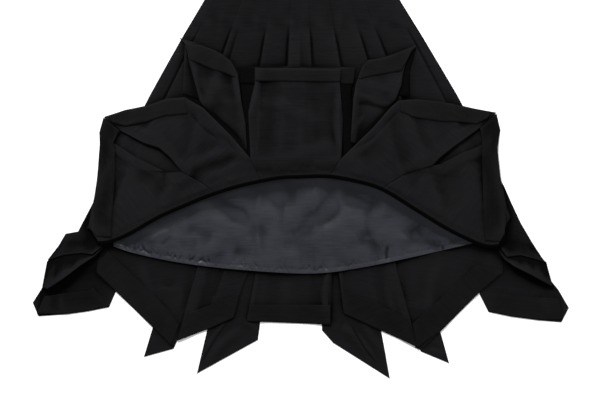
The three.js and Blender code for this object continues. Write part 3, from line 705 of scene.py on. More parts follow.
layLayer("cloth", [
    {"name": "back_inner_left", "shade": (0.08, 0.12), "cell": 6, "grain": 10, "sections": [
        (-121, 395.5, -65, 395.5), (-159, 129, -71, 129), (-189, -81, -77, -81), (-206, -203.5, -97, -195),
        (-226, -274, -120, -257), (-247, -353, -133.5, -307)],
     "creases": [
        (-191, -207, -217, -315, 8, 1.2), (-151, -207, -177, -307, 10, -0.9),
        (-106, -221, -120.5, -269, 3, -1.5)]},
    {"name": "back_centre", "shade": (0.1, 0.1), "cell": 5, "sections": [
        (-64, 395.5, 55, 395.5), (-70, 129, 61, 129), (-76, -81, 65, -81), (-90, -215, 64, -215),
        (-107, -307, 60, -313), (-107, -314, 60, -321)],
     "creases": [
        (61, -203, 58, -323, 6, 3.5), (-83.5, -215, -102, -303, 2.5, 0.9), (-31, -221, -37, -311, 14, 0.8),
        (23, -221, 19, -311, 10, -0.7)]},
    {"name": "back_inner_right", "shade": (0.05, 0.03), "cell": 6, "grain": -10, "sections": [
        (56, 395.5, 123, 395.5), (62, 129, 149, 129), (66, -81, 173, -81), (77, -216.5, 193, -211),
        (86.5, -296, 216, -295), (90, -300, 234.5, -366)],
     "creases": [
        (80, -207, 89, -299, 5, 2.6), (123, -215, 143, -307, 10, -0.9), (175, -207, 203, -331, 8, 1.2)]},
])
layLayer("facing", [
    {"name": "facing_back_outer_left", "grain": 42, "sections": [
        (-403, -195, -387, -175), (-409, -216.5, -376, -184), (-353, -271, -322, -235),
        (-296.5, -325.5, -265, -291), (-258, -364, -244, -321)],
     "stitches": [[(-377, -186), (-323, -236.5), (-267, -292), (-247, -321)]]},
    {"name": "facing_back_inner_left", "grain": -20, "sections": [
        (-231.5, -299.5, -246.5, -353), (-169, -277.5, -187, -330.5), (-121.5, -258, -134, -307)],
     "stitches": [[(-230, -301.5), (-169, -279.5), (-123, -261)]]},
    {"name": "facing_back_centre", "sections": [(-103, -281, 60, -281), (-106.5, -314, 60, -320.5)],
     "stitches": [[(-101, -283), (59, -283)]]},
    {"name": "facing_back_inner_right", "grain": 24, "sections": [
        (83, -253, 90.5, -300), (157, -279.5, 160.5, -332), (215, -309, 232, -365)],
     "stitches": [[(85, -256), (157, -282), (214.5, -311)]]},
    {"name": "facing_back_outer_right", "grain": -44, "sections": [
        (224, -319, 234, -368), (275, -274, 280.5, -334.5), (312, -240.5, 356.5, -258.5),
        (353, -200, 401, -220)],
     "stitches": [[(226, -320.5), (276.5, -275), (314, -241.5), (354.5, -201)]]},
    {"name": "facing_side_left", "shade": (0.3, 0.1), "grain": 4, "sections": [
        (-513, -264, -529, -299), (-473.5, -258, -467.5, -299.5), (-426.5, -253, -427, -294),
        (-415, -247, -387, -285.5)],
     "creases": [(-503, -263, -511, -299, 6, 1.0), (-481, -263, -473, -297, 6, 0.8)],
     "stitches": [[(-511.5, -266), (-473, -260), (-427, -255), (-416, -250)]]},
    {"name": "facing_side_right", "grain": -3, "sections": [
        (519, -269, 526, -311), (474, -266, 478.5, -312), (425, -261, 423, -305), (409, -253, 381, -296)],
     "creases": [(487, -265, 499, -305, 6, 1.0)],
     "stitches": [[(518.5, -271), (474.5, -268), (425, -263), (411, -256)]]},
])
layLayer("lining", [
    {"name": "lining_back", "cell": 12, "sections": [
        (-167, 395.5, 173, 395.5), (-185, 329, 191, 329), (-281, 129, 283, 129), (-349, -51, 335, -51),
        (-351, -143, 331, -143)]},
])

puckers = {
    "seed": 7,
    "fromHem": (2.0, 13.0),  # each runs from least to most
    "width": (1.5, 2.6),
    "reach": (3.0, 9.0),
    "lean": (-0.7, 0.9),
    "depth": (0.25, 1.15),
    "spacing": (2.8, 7.0),
    "pullAt": (-380, -330, -190, -150, -110, 0, 60, 360),
    "pull": (1.0, 1.6, 1.4, 0.6, 0.9, 1.1, 0.6, 0.5),
    "stitchesAt": 9.5,  # from the hem's edge
}


def hemPuckers(x, y, shares):
    # the lining's stitched hem draws it into small uneven puckers, stronger at the left
    above = y - np.interp(x, liningHem[:, 0], liningHem[:, 1])
    chance = np.random.default_rng(puckers["seed"])
    total = 0.2 * np.exp(-((above - 4) / 4.0) ** 2)  # the thick edge
    total -= 0.3 * np.exp(-((above - puckers["stitchesAt"]) / 1.8) ** 2)  # the stitches' groove
    total += 0.7 * np.sin(x / 47 + y / 90) * np.sin(y / 37 + 0.8) + 0.4 * np.sin(x / 29 - y / 61)
    at = liningHem[0, 0] + 6
    while at < liningHem[-1, 0] - 6:
        width, reach, lean, depth = (
            chance.uniform(*puckers[label]) for label in ("width", "reach", "lean", "depth"))
        depth *= np.interp(at, puckers["pullAt"], puckers["pull"])
        near = np.abs(x - at) < 26
        past = above[near] - chance.uniform(*puckers["fromHem"])
        total[near] -= depth * np.exp(-((x[near] - at - lean * past) / width) ** 2 - (past / reach) ** 2)
        at += chance.uniform(*puckers["spacing"])
    return total


layLayer("lining", [
    {"name": "lining_front", "acrossCell": 1.9, "rowCells": [14, 14, 14, 12, 5, 3.6], "denseEnd": 1.5,
     "endLine": liningHem, "endInset": 0.0, "relief": hemPuckers, "loft": 3.2, "underFold": 0.85,
     "sections": [
        (-168, 395.5, 174, 395.5), (-187, 329, 193, 329), (-287, 129, 289, 129), (-337, 9, 319, 9),
        (-344, -7, 326, -7), (-365, -71, 347, -71), (-375, -163, 358, -155)],
     "creases": [
        (-75, -23, -77, -207, 4.5, 0.5), (-19, -39, -19, -143, 6, 0.4), (39, -15, 37, -151, 6, 0.5),
        (-191, -53, -101, -101, 10, 3.4, "dent"), (-225, -119, -167, -147, 9, 2.4, "dent"),
        (-157, -139, -65, -111, 12, 2.2, "dent"), (-205, -191, -101, -167, 8, 2.4, "dent"),
        (-41, -145, 49, -63, 13, 4.4, "dent"), (127, -119, 195, -177, 13, 4.2, "dent"),
        (215, -119, 299, -173, 11, 4.2, "dent"), (87, -43, 163, -73, 11, 3.2, "dent"),
        (-113, -47, 7, -51, 14, 3.4, "dent"), (61, 5, 67, -111, 20, -2.8), (-51, -11, -47, -151, 20, -2.4),
        (-137, -83, -69, -143, 18, -1.6), (67, -97, 3, -163, 14, 2.4, "slope"),
        (-129, -163, -189, -151, 13, 1.8, "slope"), (219, -153, 175, -113, 15, 1.8, "slope"),
        (307, -151, 251, -113, 12, 1.8, "slope"), (-1, -177, -69, -151, 15, 1.8, "slope"),
        (131, -89, 79, -83, 14, 1.6, "slope"), (-245, -137, -297, -151, 10, 1.4, "slope"),
        (-309, -131, -213, -93, 12, -1.6), (71, -185, 151, -171, 12, 1.6, "dent"),
        (-9, -99, 71, -119, 14, -1.2), (173, -195, 175, -163, 3, -1.4), (285, -163, 293, -183, 3, -1.4),
        (-301, -151, -265, -133, 5, 0.8), (-281, -163, -257, -143, 4, -0.8)],
     "stitches": [[(x, y + 9.5) for x, y in liningHem[4:-4:4]]]},
])

# --- the side pleats, folded up over themselves, and the front with its hem turned up

layLayer("cloth", [
    {"name": "side_pleat_fold_left", "shade": (0.5, 0.85), "grain": 24, "fair": 2, "sections": [
        (-383, -149, -383.5, -155.5, 0, 2), (-416, -171, -411.5, -183, 0, 8),
        (-439, -167, -439.5, -202, 0, 15), (-473.5, -171, -473.5, -228.5, 0, 20),
        (-501, -185, -505.5, -249, 0, 15), (-508.5, -195, -517, -245, 0, 5)],
     "creases": [(-489, -195, -497, -239, 5, 1.2), (-453, -187, -461, -215, 5, -1.0)]},
    {"name": "side_pleat_fold_right", "shade": (0.55, 0.7), "grain": -24, "fair": 2, "sections": [
        (389, -157, 391, -163, 0, 2), (409, -171, 407.5, -189.5, 0, 8), (427, -173, 427, -204, 0, 14),
        (453, -175, 453, -217, 0, 19), (474, -178, 481, -232, 0, 16), (493, -196, 505, -245, 0, 5)],
     "creases": [(471, -195, 481, -231, 5, 1.2), (439, -191, 443, -211, 5, -1.0)]},
])
layLayer("cloth", [
    {"name": "side_pleat_upper_left", "hollows": 0.6, "shade": (0.12, 0.4), "grain": 20, "sections": [
        (-397, -43, -385, -153.5), (-414, -72.5, -416, -180, 0, -0.9), (-431, -105, -427, -178.5, 0, -0.9),
        (-446, -134, -438, -177, 0, -0.9), (-471, -138.5, -473.5, -181, 0, -0.9),
        (-484, -161, -506.5, -191)],
     "creases": [(-429, -143, -433, -175, 6, -1.6), (-461, -143, -481, -179, 7, 1.4)]},
    {"name": "side_pleat_upper_right", "hollows": 0.7, "shade": (0.15, 0.35), "grain": -20,
     "sections": [
        (395, -19, 394, -158), (409, -44.5, 413, -185), (423, -77, 427, -183), (442, -117.5, 441, -181.5),
        (463, -153.5, 474, -190, -3, -2), (486, -190, 494, -197, -7, -7)],
     "creases": [(427, -135, 423, -179, 6, -1.6), (447, -139, 463, -183, 7, 1.4)]},
])
underFront = heights.copy()
pleats = {
    "stitchedDepth": 0.3,  # how far a pleat stands up where it is stitched down
    "openDepth": 4.4,  # and where it is released
    "groove": 0.8,  # how far the cloth dips beside a pressed edge, as a share of that
    "releasedAt": 281.0,  # plan y of the release
    "opensOver": 44.0,
    "edge": 0.0035,  # width of a pressed edge, as a share of the front
    "grooveWidth": 0.006,
    "columns": 96,  # across the front, besides those at the pressed edges
    "beside": (0.0065, 0.013),  # where these lie, on either side
    "waver": 0.18,  # how much a pleat's depth varies along it
    "gathers": 0.6,  # how high the small gathers at the release and in the stitched part are
    "folds": [  # share across the front, 1 where the edge looks right, and its depth against the others
        (0.055, -1, 0.8), (0.194, -1, 1.15), (0.225, -1, 0.35), (0.343, -1, 0.85), (0.444, -1, 1.5),
        (0.531, 1, 0.9), (0.636, 1, 0.95), (0.741, 1, 0.8), (0.815, 1, 1.1), (0.951, 1, 0.75),
    ],
}


def pleatShares():
    # evenly spread columns, with some set close on both sides of every pressed edge
    shares = set(np.linspace(0, 1, pleats["columns"]).tolist())
    for share, side, depth in pleats["folds"]:
        shares = {s for s in shares if abs(s - share) > 0.011}
        for step in (pleats["edge"] / 2, *pleats["beside"]):
            shares |= {share - step, share + step}
    return np.array(sorted(shares))


def pleatHeights(x, y, shares):
    # a pleat falls from its pressed edge to the next one's; the box pleat in the middle is level
    opening = np.clip((pleats["releasedAt"] - y) / pleats["opensOver"], 0, 1)
    rise = opening * opening * (3 - 2 * opening)
    depth = pleats["stitchedDepth"] + (pleats["openDepth"] - pleats["stitchedDepth"]) * rise
    folds = pleats["folds"]
    total = np.zeros_like(x)
    for k, (share, side, factor) in enumerate(folds):
        wavering = 1 + pleats["waver"] * np.sin(y / 33 + 2.4 * k) * np.sin(y / 71 + k)
        other, otherSide = folds[k - side][:2]
        past = (shares - share) / (other - share)
        level = np.where(past < 0.5, 1.0, 0.0) if otherSide != side else np.clip(1 - past, 0, 1)
        face = np.where((shares - share) * -side > 0, level, 0.0)
        low = (share - shares) * -side - pleats["edge"] / 2
        groove = np.where(low > -0.0001, np.exp(-(low / pleats["grooveWidth"]) ** 2), 0.0)
        total += (face - pleats["groove"] * groove) * depth * factor * wavering
    gather = np.exp(-((y - pleats["releasedAt"]) / 16.0) ** 2)
    small = pleats["gathers"] * np.sin(x / 5.3 + 0.9 * np.sin(x / 13)) + 0.5 * np.sin(x / 8.9 + y / 7 + 1)
    ruffle = np.sin(x / 13 + y / 24 + 1.4 * np.sin(y / 19)) * (0.6 + 0.4 * np.sin(x / 37 + 2))
    ruffle += 0.5 * np.sin(x / 6.3 - y / 17)
    stitched = np.clip((y - pleats["releasedAt"]) / 12, 0, 1) * pleats["gathers"] * ruffle
    return total + gather * small + stitched


layLayer("waistband", [
    {"name": "waistband_front", "held": "folded", "sections": [
        (-162, 429, 168.5, 429), (-171.5, 396, 178, 396)],
     "stitches": [[(-161, 426.5), (167.5, 426.5)], [(-169, 398.5), (176, 398.5)]]},
])
layLayer("cloth", [
    {"name": "front", "shade": (0.18, 0.08), "hollows": 0.45, "cell": 5, "loft": 3.0, "endLine": foldLine,
     "endInset": foldSizes["reach"] + foldSizes["back"] + foldSizes["clear"], "shares": pleatShares(),
     "relief": pleatHeights, "sections": [
        (-172, 395.5, 178.5, 395.5), (-192, 329, 198.5, 329), (-237.5, 253, 246, 253),
        (-301, 139, 314, 139), (-358.5, 29, 372, 29), (-435, -123, 433, -107)],
     "creases": [
        (-301, 129, -245, 225, 10, 1.6), (279, 209, 303, 137, 10, 1.6), (-209, 269, -235, 209, 5, 1.4),
        (227, 269, 251, 209, 6, 1.2)]},
])
layLayer("cloth", [
    {"name": "hem_underlay", "shade": (0.45, 0.45), "cell": 5, "sections": [
        (-125, 196, 111, 194), (-119, 149, 101, 145), (-115, 89, 105, 89), (-113, 1, 103, 9)],
     "creases": [(-107, 193, -101, 157, 4, -1.4)]},
    {"name": "hem_return_left", "shade": (0.3, 0.3), "sections": [
        (-231, 238, -224, 235), (-233, 189, -213, 189), (-236, 141, -199, 129)]},
    {"name": "hem_return_right", "shade": (0.8, 0.8), "sections": [
        (224, 229, 230, 233), (203, 193, 219, 189), (191, 139, 217, 135)]},
])
layLayer("facing", [
    {"name": "facing_underlay", "hollows": 0.5, "shade": (0.9, 0.0), "sections": [
        (-124, 195, 110.5, 193), (-120, 161, 105, 160)], "stitches": [[(-119, 162.5), (104, 161.5)]]},
])
layLayer("cloth", [
    {"name": "hem_inner_left", "shade": (0.2, 0.14), "grain": 14, "sections": [
        (-243, 253, -239.5, 252), (-231.5, 242.5, -197.5, 239, 2), (-226, 225, -158, 221, 2),
        (-222, 203.5, -138.5, 206, 2), (-216, 181, -125, 181, 2), (-201.5, 128, -118, 126, 2, 5),
        (-175, 81, -109.5, 81, 0, 4), (-133, 29, -106, 15, 0, 1)],
     "creases": [
        (-139, 209, -117, 117, 7, 4), (-183, 101.5, -118, 44.5, 4, -2.4), (-209, 161, -121, 145, 10, 0.8),
        (-169, 169, -137, 109, 10, 0.8), (-203, 193, -189, 129, 5, -0.9),
        (-177, 95, -121, 49, 8, 1.6, "slope")]},
    {"name": "hem_inner_right", "grain": -14, "sections": [
        (198, 226, 231.5, 237.5, 0, 2), (167.5, 214, 220, 222, 0, 2), (135, 208, 210, 201, 0, 2),
        (122.5, 194.5, 204.5, 181, 0, 2), (110, 159, 201, 157, 4, 2), (105, 129, 190, 130, 5, 2),
        (102.5, 89, 159, 81, 4), (100, 45, 119, 37, 1)],
     "creases": [
        (107, 153, 91, 37, 7, 5), (106, 140.5, 151, 124, 4, 1.8), (143, 125, 181.5, 123, 4, 1.6),
        (111, 121, 175, 107, 6, -1.8), (131, 161, 183, 153, 7, 1.2), (127, 97, 99, 45, 5, 1.4)]},
])
layLayer("facing", [
    {"name": "facing_inner_left", "grain": 24, "sections": [
        (-228, 240, -220, 208), (-197.5, 238, -195, 198), (-173, 229, -171, 187.5), (-158, 220, -153, 183),
        (-139, 204.5, -131, 173.5)],
     "stitches": [[(-219.5, 209), (-195, 200), (-171, 189), (-152, 184.5), (-131, 175)]]},
    {"name": "facing_inner_right", "grain": -20, "sections": [
        (124.5, 193, 116, 170), (135, 206.5, 141, 176), (167.5, 212.5, 171.5, 181), (198, 225, 201, 186.5),
        (226, 234, 209, 202)],
     "stitches": [[(117, 171.5), (141, 178), (171.5, 183), (201, 188), (208.5, 202)]]},
])
layLayer("cloth", [
    {"name": "hem_gusset_left", "shade": (-0.1, -0.1), "hollows": 0.6, "grain": 30, "sections": [
        (-391, 94, -393, 90), (-353, 81, -369, 29), (-309, 59, -333, 5), (-275, 41, -297, -13),
        (-241, 9, -267, -31), (-225, -13, -241, -33)]},
    {"name": "hem_gusset_right", "shade": (-0.05, -0.05), "hollows": 0.6, "grain": -30, "sections": [
        (389, 102, 391.5, 96.5), (351, 85, 363, 25), (309, 57, 323, 9), (279, 33, 281, -15),
        (253, 11, 259, -19)]},
])


def hemTurn(pieces):
    turned = {"turned": True, "endLine": foldLine, "endInset": 0.0, "held": "folded"}
    layLayer("cloth", [dict(piece, **turned) for piece in pieces], underFront)


hemTurn([
    {"name": "hem_centre", "shade": (0.1, 0.06), "sections": [
        (-91, 193, 82, 190.5), (-91, 161, 78.5, 161, 1, 1), (-97, 137, 80.5, 137, 3, 1),
        (-104, 103, 85, 89, 5, 2), (-99.5, 11.5, 81, 11.5, 3, 3), (-90, -11, 67.5, -8),
        (-82, -31, 61, -19)],
     "creases": [
        (-89, 201, -99, 101, 7, 6), (-101, 113, -97, -11, 7, 5), (82, 153, 85, 13, 6, 5),
        (-102, 126.5, -15, 109, 7, 1.6, "slope"), (-53, 117, 40, 74.5, 8, 2.0, "slope"),
        (-41, -15, 78, 27, 8, 2.8, "slope"), (59, -3, -1, -23, 9, 1.2, "slope"),
        (-85, 157, -89, 13, 3, 0.8), (73, 149, 79, 29, 3, 0.8), (-49, 145, -57, 9, 12, 0.9),
        (19, 153, 31, 29, 12, -0.9)]},
    {"name": "hem_middle_left", "grain": 38, "sections": [
        (-393.5, 96, -392.5, 93.5), (-351, 110, -359, 67, 0, 2), (-307, 118, -313.5, 43, 0, 5),
        (-267, 132, -281.5, 32.5, 0, 6), (-231, 134, -260, 13.5, 3, 5), (-193.5, 112, -236, -16, 5, 1),
        (-138.5, 57, -221, -24, 6), (-99.5, 11.5, -206.5, -32, 3), (-90, -11, -191, -41),
        (-82, -31, -174.5, -53)],
     "creases": [
        (-218, 103.5, -159, 50.5, 3, -1.4), (-173, 65, -125, 21, 3, -1.3),
        (-227, -17, -133, 23, 6, 5.0, "slope"), (-157, 33, -217, 13, 9, 1.8, "slope"),
        (-193, -35, -121, -1, 5, 2.2, "slope"), (-249, 93, -241, 21, 16, 0.9),
        (-337, 81, -281, 57, 12, 0.7)]},
    {"name": "hem_outer_left", "grain": -52, "sections": [
        (-395, 94.5, -392, 92), (-403.5, 65, -374, 43), (-402.5, 43, -332.5, 16.5, 0, 2),
        (-404.5, 19, -300, 0, 0, 3), (-406, -3, -271, -15, 0, 3), (-408, -27, -236, -16, 0, 1),
        (-411, -57, -221, -24), (-418, -88, -206.5, -32), (-423, -123, -191, -41),
        (-405, -147, -174.5, -53)],
     "creases": [
        (-273, 3, -273, -35, 5, -1.3), (-345, 9, -353, -115, 18, 0.9), (-369, -23, -373, -135, 2.5, 0.5),
        (-357, -95, -249, -43, 12, 1.6, "slope"), (-245, -23, -285, -71, 9, 1.2),
        (-341, -43, -285, -35, 12, 0.8)]},
    {"name": "hem_middle_right", "grain": -38, "sections": [
        (392, 104.5, 390, 102), (349, 112.5, 357, 72, 0, 2), (303, 122, 308, 37, 0, 5),
        (232, 131, 279, 14, 0, 6), (195, 127, 263, -3, 3, 3), (179, 113, 229, -13.5, 5),
        (145, 73.5, 204, -22, 6), (81, 11.5, 187, -33, 3), (67.5, -8, 177, -39), (61, -19, 167.5, -45)],
     "creases": [
        (195.5, 108.5, 156.5, 65, 3, -1.5), (156.5, 65, 106, 31.5, 3, -1.4), (171, 73, 111, 21, 5, 1.0),
        (259, 81, 247, 17, 14, 0.8), (203, -23, 271, 17, 7, 2.4, "slope"),
        (119, -11, 191, 9, 9, 1.6, "slope"), (95, 5, 143, 29, 6, 1.4, "slope")]},
    {"name": "hem_outer_right", "grain": 52, "sections": [
        (390, 100, 393, 102), (362, 37, 401, 69), (322, 23, 395.5, 39, 2), (280, 0.5, 396.5, 13, 3),
        (263, -3, 400.5, -24.5, 2), (229, -13.5, 403.5, -39), (204, -22, 406.5, -55),
        (187, -33, 412, -83.5), (177, -39, 411, -121), (167.5, -45, 396, -155)],
     "creases": [
        (335, 5, 347, -119, 18, 0.7), (239, -31, 291, -75, 10, 0.8), (367, -23, 369, -135, 2.5, 0.6)]},
])
layLayer("facing", [
    {"name": "facing_centre", "shade": (-0.1, -0.1), "sections": [
        (-90.5, 192, 81, 190), (-89.5, 166, 79, 164)], "stitches": [[(-89, 168), (-14, 166), (78.5, 166)]]},
    {"name": "facing_middle_left", "grain": 20, "sections": [
        (-386, 97.5, -377, 84), (-356.5, 107.5, -350, 76.5), (-307, 117.5, -308, 84.5),
        (-271, 130, -271, 96.5), (-232, 133, -225.5, 100.5)],
     "stitches": [[(-375.5, 85.5), (-350, 78.5), (-308, 86.5), (-271, 98.5), (-226, 102.5)]]},
    {"name": "facing_outer_left", "shade": (0.2, 0.2), "grain": 90, "sections": [
        (-394, 91.5, -390, 90), (-398, 79, -362, 68), (-403, 63, -375, 42.5), (-402.5, 29, -370, 27),
        (-406, -18.5, -371, -18.5), (-415, -81, -374, -77), (-422, -115, -375.5, -115),
        (-419, -129, -376, -131), (-406, -144, -377, -144.5)],
     "stitches": [[(-377, 41), (-372, 27), (-373, -18.5), (-376, -77), (-377.5, -143)]]},
    {"name": "facing_middle_right", "grain": -20, "sections": [
        (200, 126.5, 199, 105.5), (232, 130, 224, 94.5), (280, 125.5, 280, 85), (326, 116, 316.5, 84.5),
        (359, 109, 353, 81), (383, 104, 373, 92)],
     "stitches": [[(199.5, 107), (224, 96.5), (280, 86.5), (316.5, 86), (353, 83), (372.5, 93)]]},
    {"name": "facing_outer_right", "shade": (0.2, 0.2), "grain": 90, "sections": [
        (386.5, 97, 391.5, 98), (359, 73, 399, 74), (363, 52, 398.5, 61), (362.5, 29, 395, 29),
        (364, -24.5, 399.5, -24.5), (365, -71, 409, -81), (366, -111, 410, -115), (367, -139, 407, -139),
        (368, -151.5, 398, -154)],
     "stitches": [[(364, 51), (364.5, 29), (365.5, -24.5), (367, -71), (369, -151)]]},
])
layLayer("waistband", [
    {"name": "waist_tab", "sections": [(-161, 428, -117, 428), (-170, 397.5, -123, 397.5)],
     "stitches": [[(-121.5, 426), (-127, 399)]]},
])
hollowSizes = [(5.0, 0.3, 1.8), (12.0, 0.5, 3.6), (24.0, 0.5, 7.0)]  # radius, its share of the painted shade, and the full depth
hollowMaps = [(blurMap(blurMap(heights, radius), radius / 2), share, depth)
              for radius, share, depth in hollowSizes]
for laid in laidPieces:
    markHollows(laid)
print("cloth laid:", len(laidPieces), "pieces")


# --- the button, its thread and the stitches

buttonLook = {
    "centre": (-141, 413),
    "radius": 7.5,
    "thick": 2.4,
    "rim": 1.3,  # width of the raised rim
    "dish": 0.6,  # how far the middle lies below the rim
    "rimTop": [(0.6, 0.0), (0.2, 0.15), (0.0, 0.6)],  # in from the side, and below the top
    "foot": [(0.0, 0.7), (0.4, 0.15), (1.2, 0.0)],  # in from the side, and above the underside
    "sides": 72,
    "holes": 4,
    "holeRadius": 0.8,
    "holeFrom": 1.9,  # from the middle to each hole
    "holeSides": 20,
    "threadHeights": (-0.2, 0.35, -0.2),  # along each bar of thread, above the dish
    "colour": (0.012, 0.012, 0.013),
    "clouding": 1.8,  # how much lighter its light clouds are
    "lint": 0.1,
    "handled": 0.8,
    "roughness": 0.42,
    "specular": 0.2,
}
stitchLook = {
    "pitch": 3.6,
    "length": 2.7,
    "thread": 0.34,  # half a thread's thickness
    "sunk": 0.16,  # into the cloth
    "unevenness": 0.12,
    "seed": 11,
}
liningStitchLook = dict(stitchLook, thread=0.3)
barLook = dict(stitchLook, pitch=0.5, length=0.9, thread=0.35, sunk=0.0, unevenness=0.05)


def meshObject(name, points, faces, edges=()):
    mesh = bpy.data.meshes.new(name)
    mesh.from_pydata([(x * mm, y * mm, z * mm) for x, y, z in points], list(edges), faces)
    return linkObject(name, mesh)


def turnedSolid(name, profile, sides, x, y):
    # a profile of (radius, height) from the top middle to the bottom middle, turned about a plan place
    turns = [2 * math.pi * k / sides for k in range(sides)]
    points = [(x, y, profile[0][1])]
    for radius, height in profile[1:-1]:
        points += [(x + radius * math.cos(turn), y + radius * math.sin(turn), height) for turn in turns]
    points.append((x, y, profile[-1][1]))
    last, faces = len(points) - 1, []
    for k in range(sides):
        after = (k + 1) % sides
        faces.append((0, 1 + k, 1 + after))
        for ring in range(len(profile) - 3):
            a = 1 + ring * sides
            faces.append((a + k, a + sides + k, a + sides + after, a + after))
        a = 1 + (len(profile) - 3) * sides
        faces.append((a + k, last, a + after))
    return meshObject(name, points, faces)


def takeIn(name, piece, *others):
    # a plain mesh of the piece with its modifiers taken in; the piece and its helpers go
    bpy.context.view_layer.update()
    done = bpy.data.meshes.new_from_object(piece.evaluated_get(bpy.context.evaluated_depsgraph_get()))
    for used in (piece, *others):
        bpy.data.objects.remove(used, do_unlink=True)
    return linkObject(name, done)


def makeButton(look):
    x, y = look["centre"]
    low = heights[mapIndex(x, y)] + clothSizes["gap"]
    radius, top = look["radius"], low + look["thick"]
    floor = top - look["dish"]
    well = radius - look["rim"]
    dish = [(0, floor), (well * 0.8, floor), (well, floor + 0.15), (well + 0.35, top - 0.08)]
    rim = [(radius - inward, top - down) for inward, down in look["rimTop"]]
    foot = [(radius - inward, low + up) for inward, up in look["foot"]]
    blank = turnedSolid("button_blank", dish + rim + foot + [(0, low)], look["sides"], x, y)
    over, under, r = top + 2, low - 2, look["holeRadius"]  # the punches stand out on both sides
    punches = []
    for hole in range(look["holes"]):
        turn = 2 * math.pi * (hole + 0.5) / look["holes"]
        punches.append(turnedSolid(
            "punch", [(0, over), (r, over), (r, under), (0, under)], look["holeSides"],
            x + look["holeFrom"] * math.cos(turn), y + look["holeFrom"] * math.sin(turn)))
        cut = blank.modifiers.new("hole", "BOOLEAN")
        cut.operation, cut.object = "DIFFERENCE", punches[-1]
    button = takeIn("waist_button_turned", blank, *punches)
    for polygon in button.data.polygons:
        polygon.use_smooth = abs(polygon.normal.z) < 0.98
    return button, floor


def buttonMaterial(look):
    material, tree, shader = newMaterial("button resin")
    handled = wearOn(tree, look["lint"], look["handled"])["Handled"]
    place = addNode(tree, "ShaderNodeTexCoord").outputs["Object"]
    cloud = noiseNode(tree, place, 300.0, 3.0, (1, 3, 1))
    lighter = tuple(c * look["clouding"] for c in look["colour"])
    setInputs(tree, shader, {
        "Base Color": mixNode(tree, cloud, look["colour"], lighter),
        "Roughness": mathNode(tree, "MULTIPLY_ADD", handled, 0.12, look["roughness"]),
        "Specular IOR Level": look["specular"],
    })
    return material


threadLooks = {
    "black thread": {"dark": (0.0005, 0.0005, 0.0006), "light": (0.0016, 0.0016, 0.0018), "specular": 0.02},
    "slate thread": {"dark": (0.012, 0.013, 0.018), "light": (0.028, 0.030, 0.040), "specular": 0.3},
}


def threadMaterial(name, look):
    material, tree, shader = newMaterial(name)
    place = addNode(tree, "ShaderNodeTexCoord").outputs["Object"]
    twist = noiseNode(tree, place, 900.0, 2.0, (1, 2, 1))
    setInputs(tree, shader, {
        "Base Color": mixNode(tree, twist, look["dark"], look["light"]),
        "Roughness": 0.7,
        "Specular IOR Level": look["specular"],
    })
    return material


def stitchTree():
    # beads set evenly along a line of edges, as long as a stitch and as thick as the thread
    tree = bpy.data.node_groups.new("stitch row", "GeometryNodeTree")
    face = tree.interface
    face.new_socket("Geometry", in_out="OUTPUT", socket_type="NodeSocketGeometry")
    face.new_socket("Geometry", in_out="INPUT", socket_type="NodeSocketGeometry")
    kinds = {"Pitch": "Float", "Length": "Float", "Thread": "Float", "Unevenness": "Float", "Seed": "Int",
             "Material": "Material"}
    sockets = {label: face.new_socket(label, in_out="INPUT", socket_type="NodeSocket" + kind)
               for label, kind in kinds.items()}
    given, out = tree.nodes.new("NodeGroupInput").outputs, tree.nodes.new("NodeGroupOutput")
    line = addNode(tree, "GeometryNodeMeshToCurve", {"Mesh": given["Geometry"]}).outputs["Curve"]
    even = addNode(tree, "GeometryNodeResampleCurve",
                   {"Curve": line, "Length": given["Pitch"]}, mode="LENGTH")
    along = addNode(tree, "GeometryNodeInputTangent").outputs[0]
    turn = addNode(tree, "FunctionNodeAlignRotationToVector", {"Vector": along}, axis="X")
    bead = addNode(tree, "GeometryNodeMeshUVSphere", {"Segments": 6, "Rings": 5, "Radius": 1.0})
    low, high = (mathNode(tree, operation, 1.0, given["Unevenness"]) for operation in ("SUBTRACT", "ADD"))
    vary = addNode(tree, "FunctionNodeRandomValue",
                   {2: low, 3: high, "Seed": given["Seed"]}, data_type="FLOAT")
    half = mathNode(tree, "MULTIPLY", given["Length"], 0.5)
    size = addNode(tree, "ShaderNodeCombineXYZ", {
        0: mathNode(tree, "MULTIPLY", half, vary.outputs[1]), 1: given["Thread"], 2: given["Thread"]})
    place = addNode(tree, "GeometryNodeInstanceOnPoints", {
        "Points": even.outputs["Curve"], "Instance": bead.outputs["Mesh"], "Rotation": turn.outputs[0],
        "Scale": size.outputs[0]})
    real = addNode(tree, "GeometryNodeRealizeInstances", {0: place.outputs[0]})
    paint = addNode(tree, "GeometryNodeSetMaterial",
                    {"Geometry": real.outputs[0], "Material": given["Material"]})
    setInputs(tree, out, {"Geometry": paint.outputs[0]})
    return tree, {label: socket.identifier for label, socket in sockets.items()}


stitchNodes, stitchSockets = stitchTree()


def sewRows(name, paths, thread, size):
    # rows of stitches along paths, as one plain mesh
    points, edges = [], []
    for path in paths:
        start = len(points)
        points += [(x, y, z + size["thread"] - size["sunk"]) for x, y, z in path]
        edges += [(k, k + 1) for k in range(start, len(points) - 1)]
    guide = meshObject(name + "_guide", points, [], edges)
    sewn = guide.modifiers.new("stitches", "NODES")
    sewn.node_group = stitchNodes
    for label in ("pitch", "length", "thread"):
        sewn[stitchSockets[label.capitalize()]] = size[label] * mm
    for label, value in (("Unevenness", size["unevenness"]), ("Seed", size["seed"]), ("Material", thread)):
        sewn[stitchSockets[label]] = value
    rows = takeIn(name, guide)
    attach(rows, "root")
    return rows


blackThread, slateThread = (threadMaterial(name, look) for name, look in threadLooks.items())
onLining = [path for name, path in stitchRuns if name.startswith("lining")]
onCloth = [path for name, path in stitchRuns if not name.startswith("lining")]
clothStitches = sewRows("cloth_stitches", onCloth, blackThread, stitchLook)
liningStitches = sewRows("lining_stitches", onLining, slateThread, liningStitchLook)

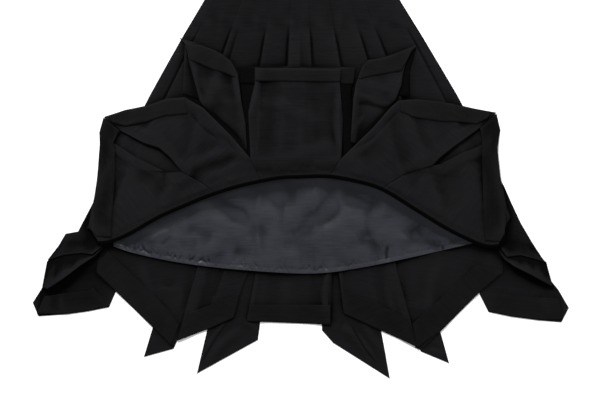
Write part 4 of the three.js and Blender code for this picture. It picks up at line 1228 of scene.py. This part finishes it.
button, buttonFloor = makeButton(buttonLook)
button.data.materials.append(buttonMaterial(buttonLook))
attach(button, "root")
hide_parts("waist_button")
bx, by = buttonLook["centre"]
step = buttonLook["holeFrom"] * math.sqrt(0.5)
bars = [[(bx + along * step, by + side * step, buttonFloor + height)
         for along, height in zip((-1, 0, 1), buttonLook["threadHeights"])] for side in (-1, 1)]
buttonThread = sewRows("button_thread", bars, blackThread, barLook)

print("stitches and button made")


# --- floor, light and camera

studio = {
    "floorColour": (0.92, 0.92, 0.92),
    "floorSize": 7.0,
    "floorDepth": 0.0003,  # how far it lies below the cloth
    "floorRoughness": 0.9,
    "floorSpecular": 0.1,
    "background": 0.5,
    "lamps": [  # name, watts, place and size
        ("key", 190.0, (-0.9, 2.5, 2.5), 0.9),
        ("fill", 26.0, (2.3, 0.9, 2.4), 2.4),
    ],
    "cameraHeight": 3.343,
    "lens": 100.0,
    "sensor": 36.0,
    "lookAt": (-1, -91),
}


def makeStudio(look):
    half, low = look["floorSize"] / 2, -look["floorDepth"]
    mesh = bpy.data.meshes.new("floor")
    corners = [(x * half, y * half, low) for x, y in ((-1, -1), (1, -1), (1, 1), (-1, 1))]
    mesh.from_pydata(corners, [], [(0, 1, 2, 3)])
    floor = linkObject("floor", mesh)
    paint, tree, shader = newMaterial("floor paint")
    setInputs(tree, shader, {
        "Base Color": (*look["floorColour"], 1),
        "Roughness": look["floorRoughness"],
        "Specular IOR Level": look["floorSpecular"],
    })
    mesh.materials.append(paint)
    for name, power, place, size in look["lamps"]:
        lamp = bpy.data.lights.new(name, "AREA")
        lamp.shape, lamp.size, lamp.energy = "DISK", size, power
        holder = linkObject(name, lamp)
        holder.location = place
        holder.rotation_mode = "QUATERNION"
        holder.rotation_quaternion = (-holder.location).to_track_quat("-Z", "Y")
    scene = bpy.context.scene
    scene.world = bpy.data.worlds.new("studio")
    scene.world.use_nodes = True
    sky = scene.world.node_tree
    setInputs(sky, sky.nodes["Background"], {"Color": (1, 1, 1, 1), "Strength": look["background"]})
    lens = bpy.data.cameras.new("camera")
    lens.lens, lens.sensor_width = look["lens"], look["sensor"]
    scene.camera = linkObject("camera", lens)
    scene.camera.location = (look["lookAt"][0] * mm, look["lookAt"][1] * mm, look["cameraHeight"])
    scene.view_settings.view_transform = "Standard"


makeStudio(studio)
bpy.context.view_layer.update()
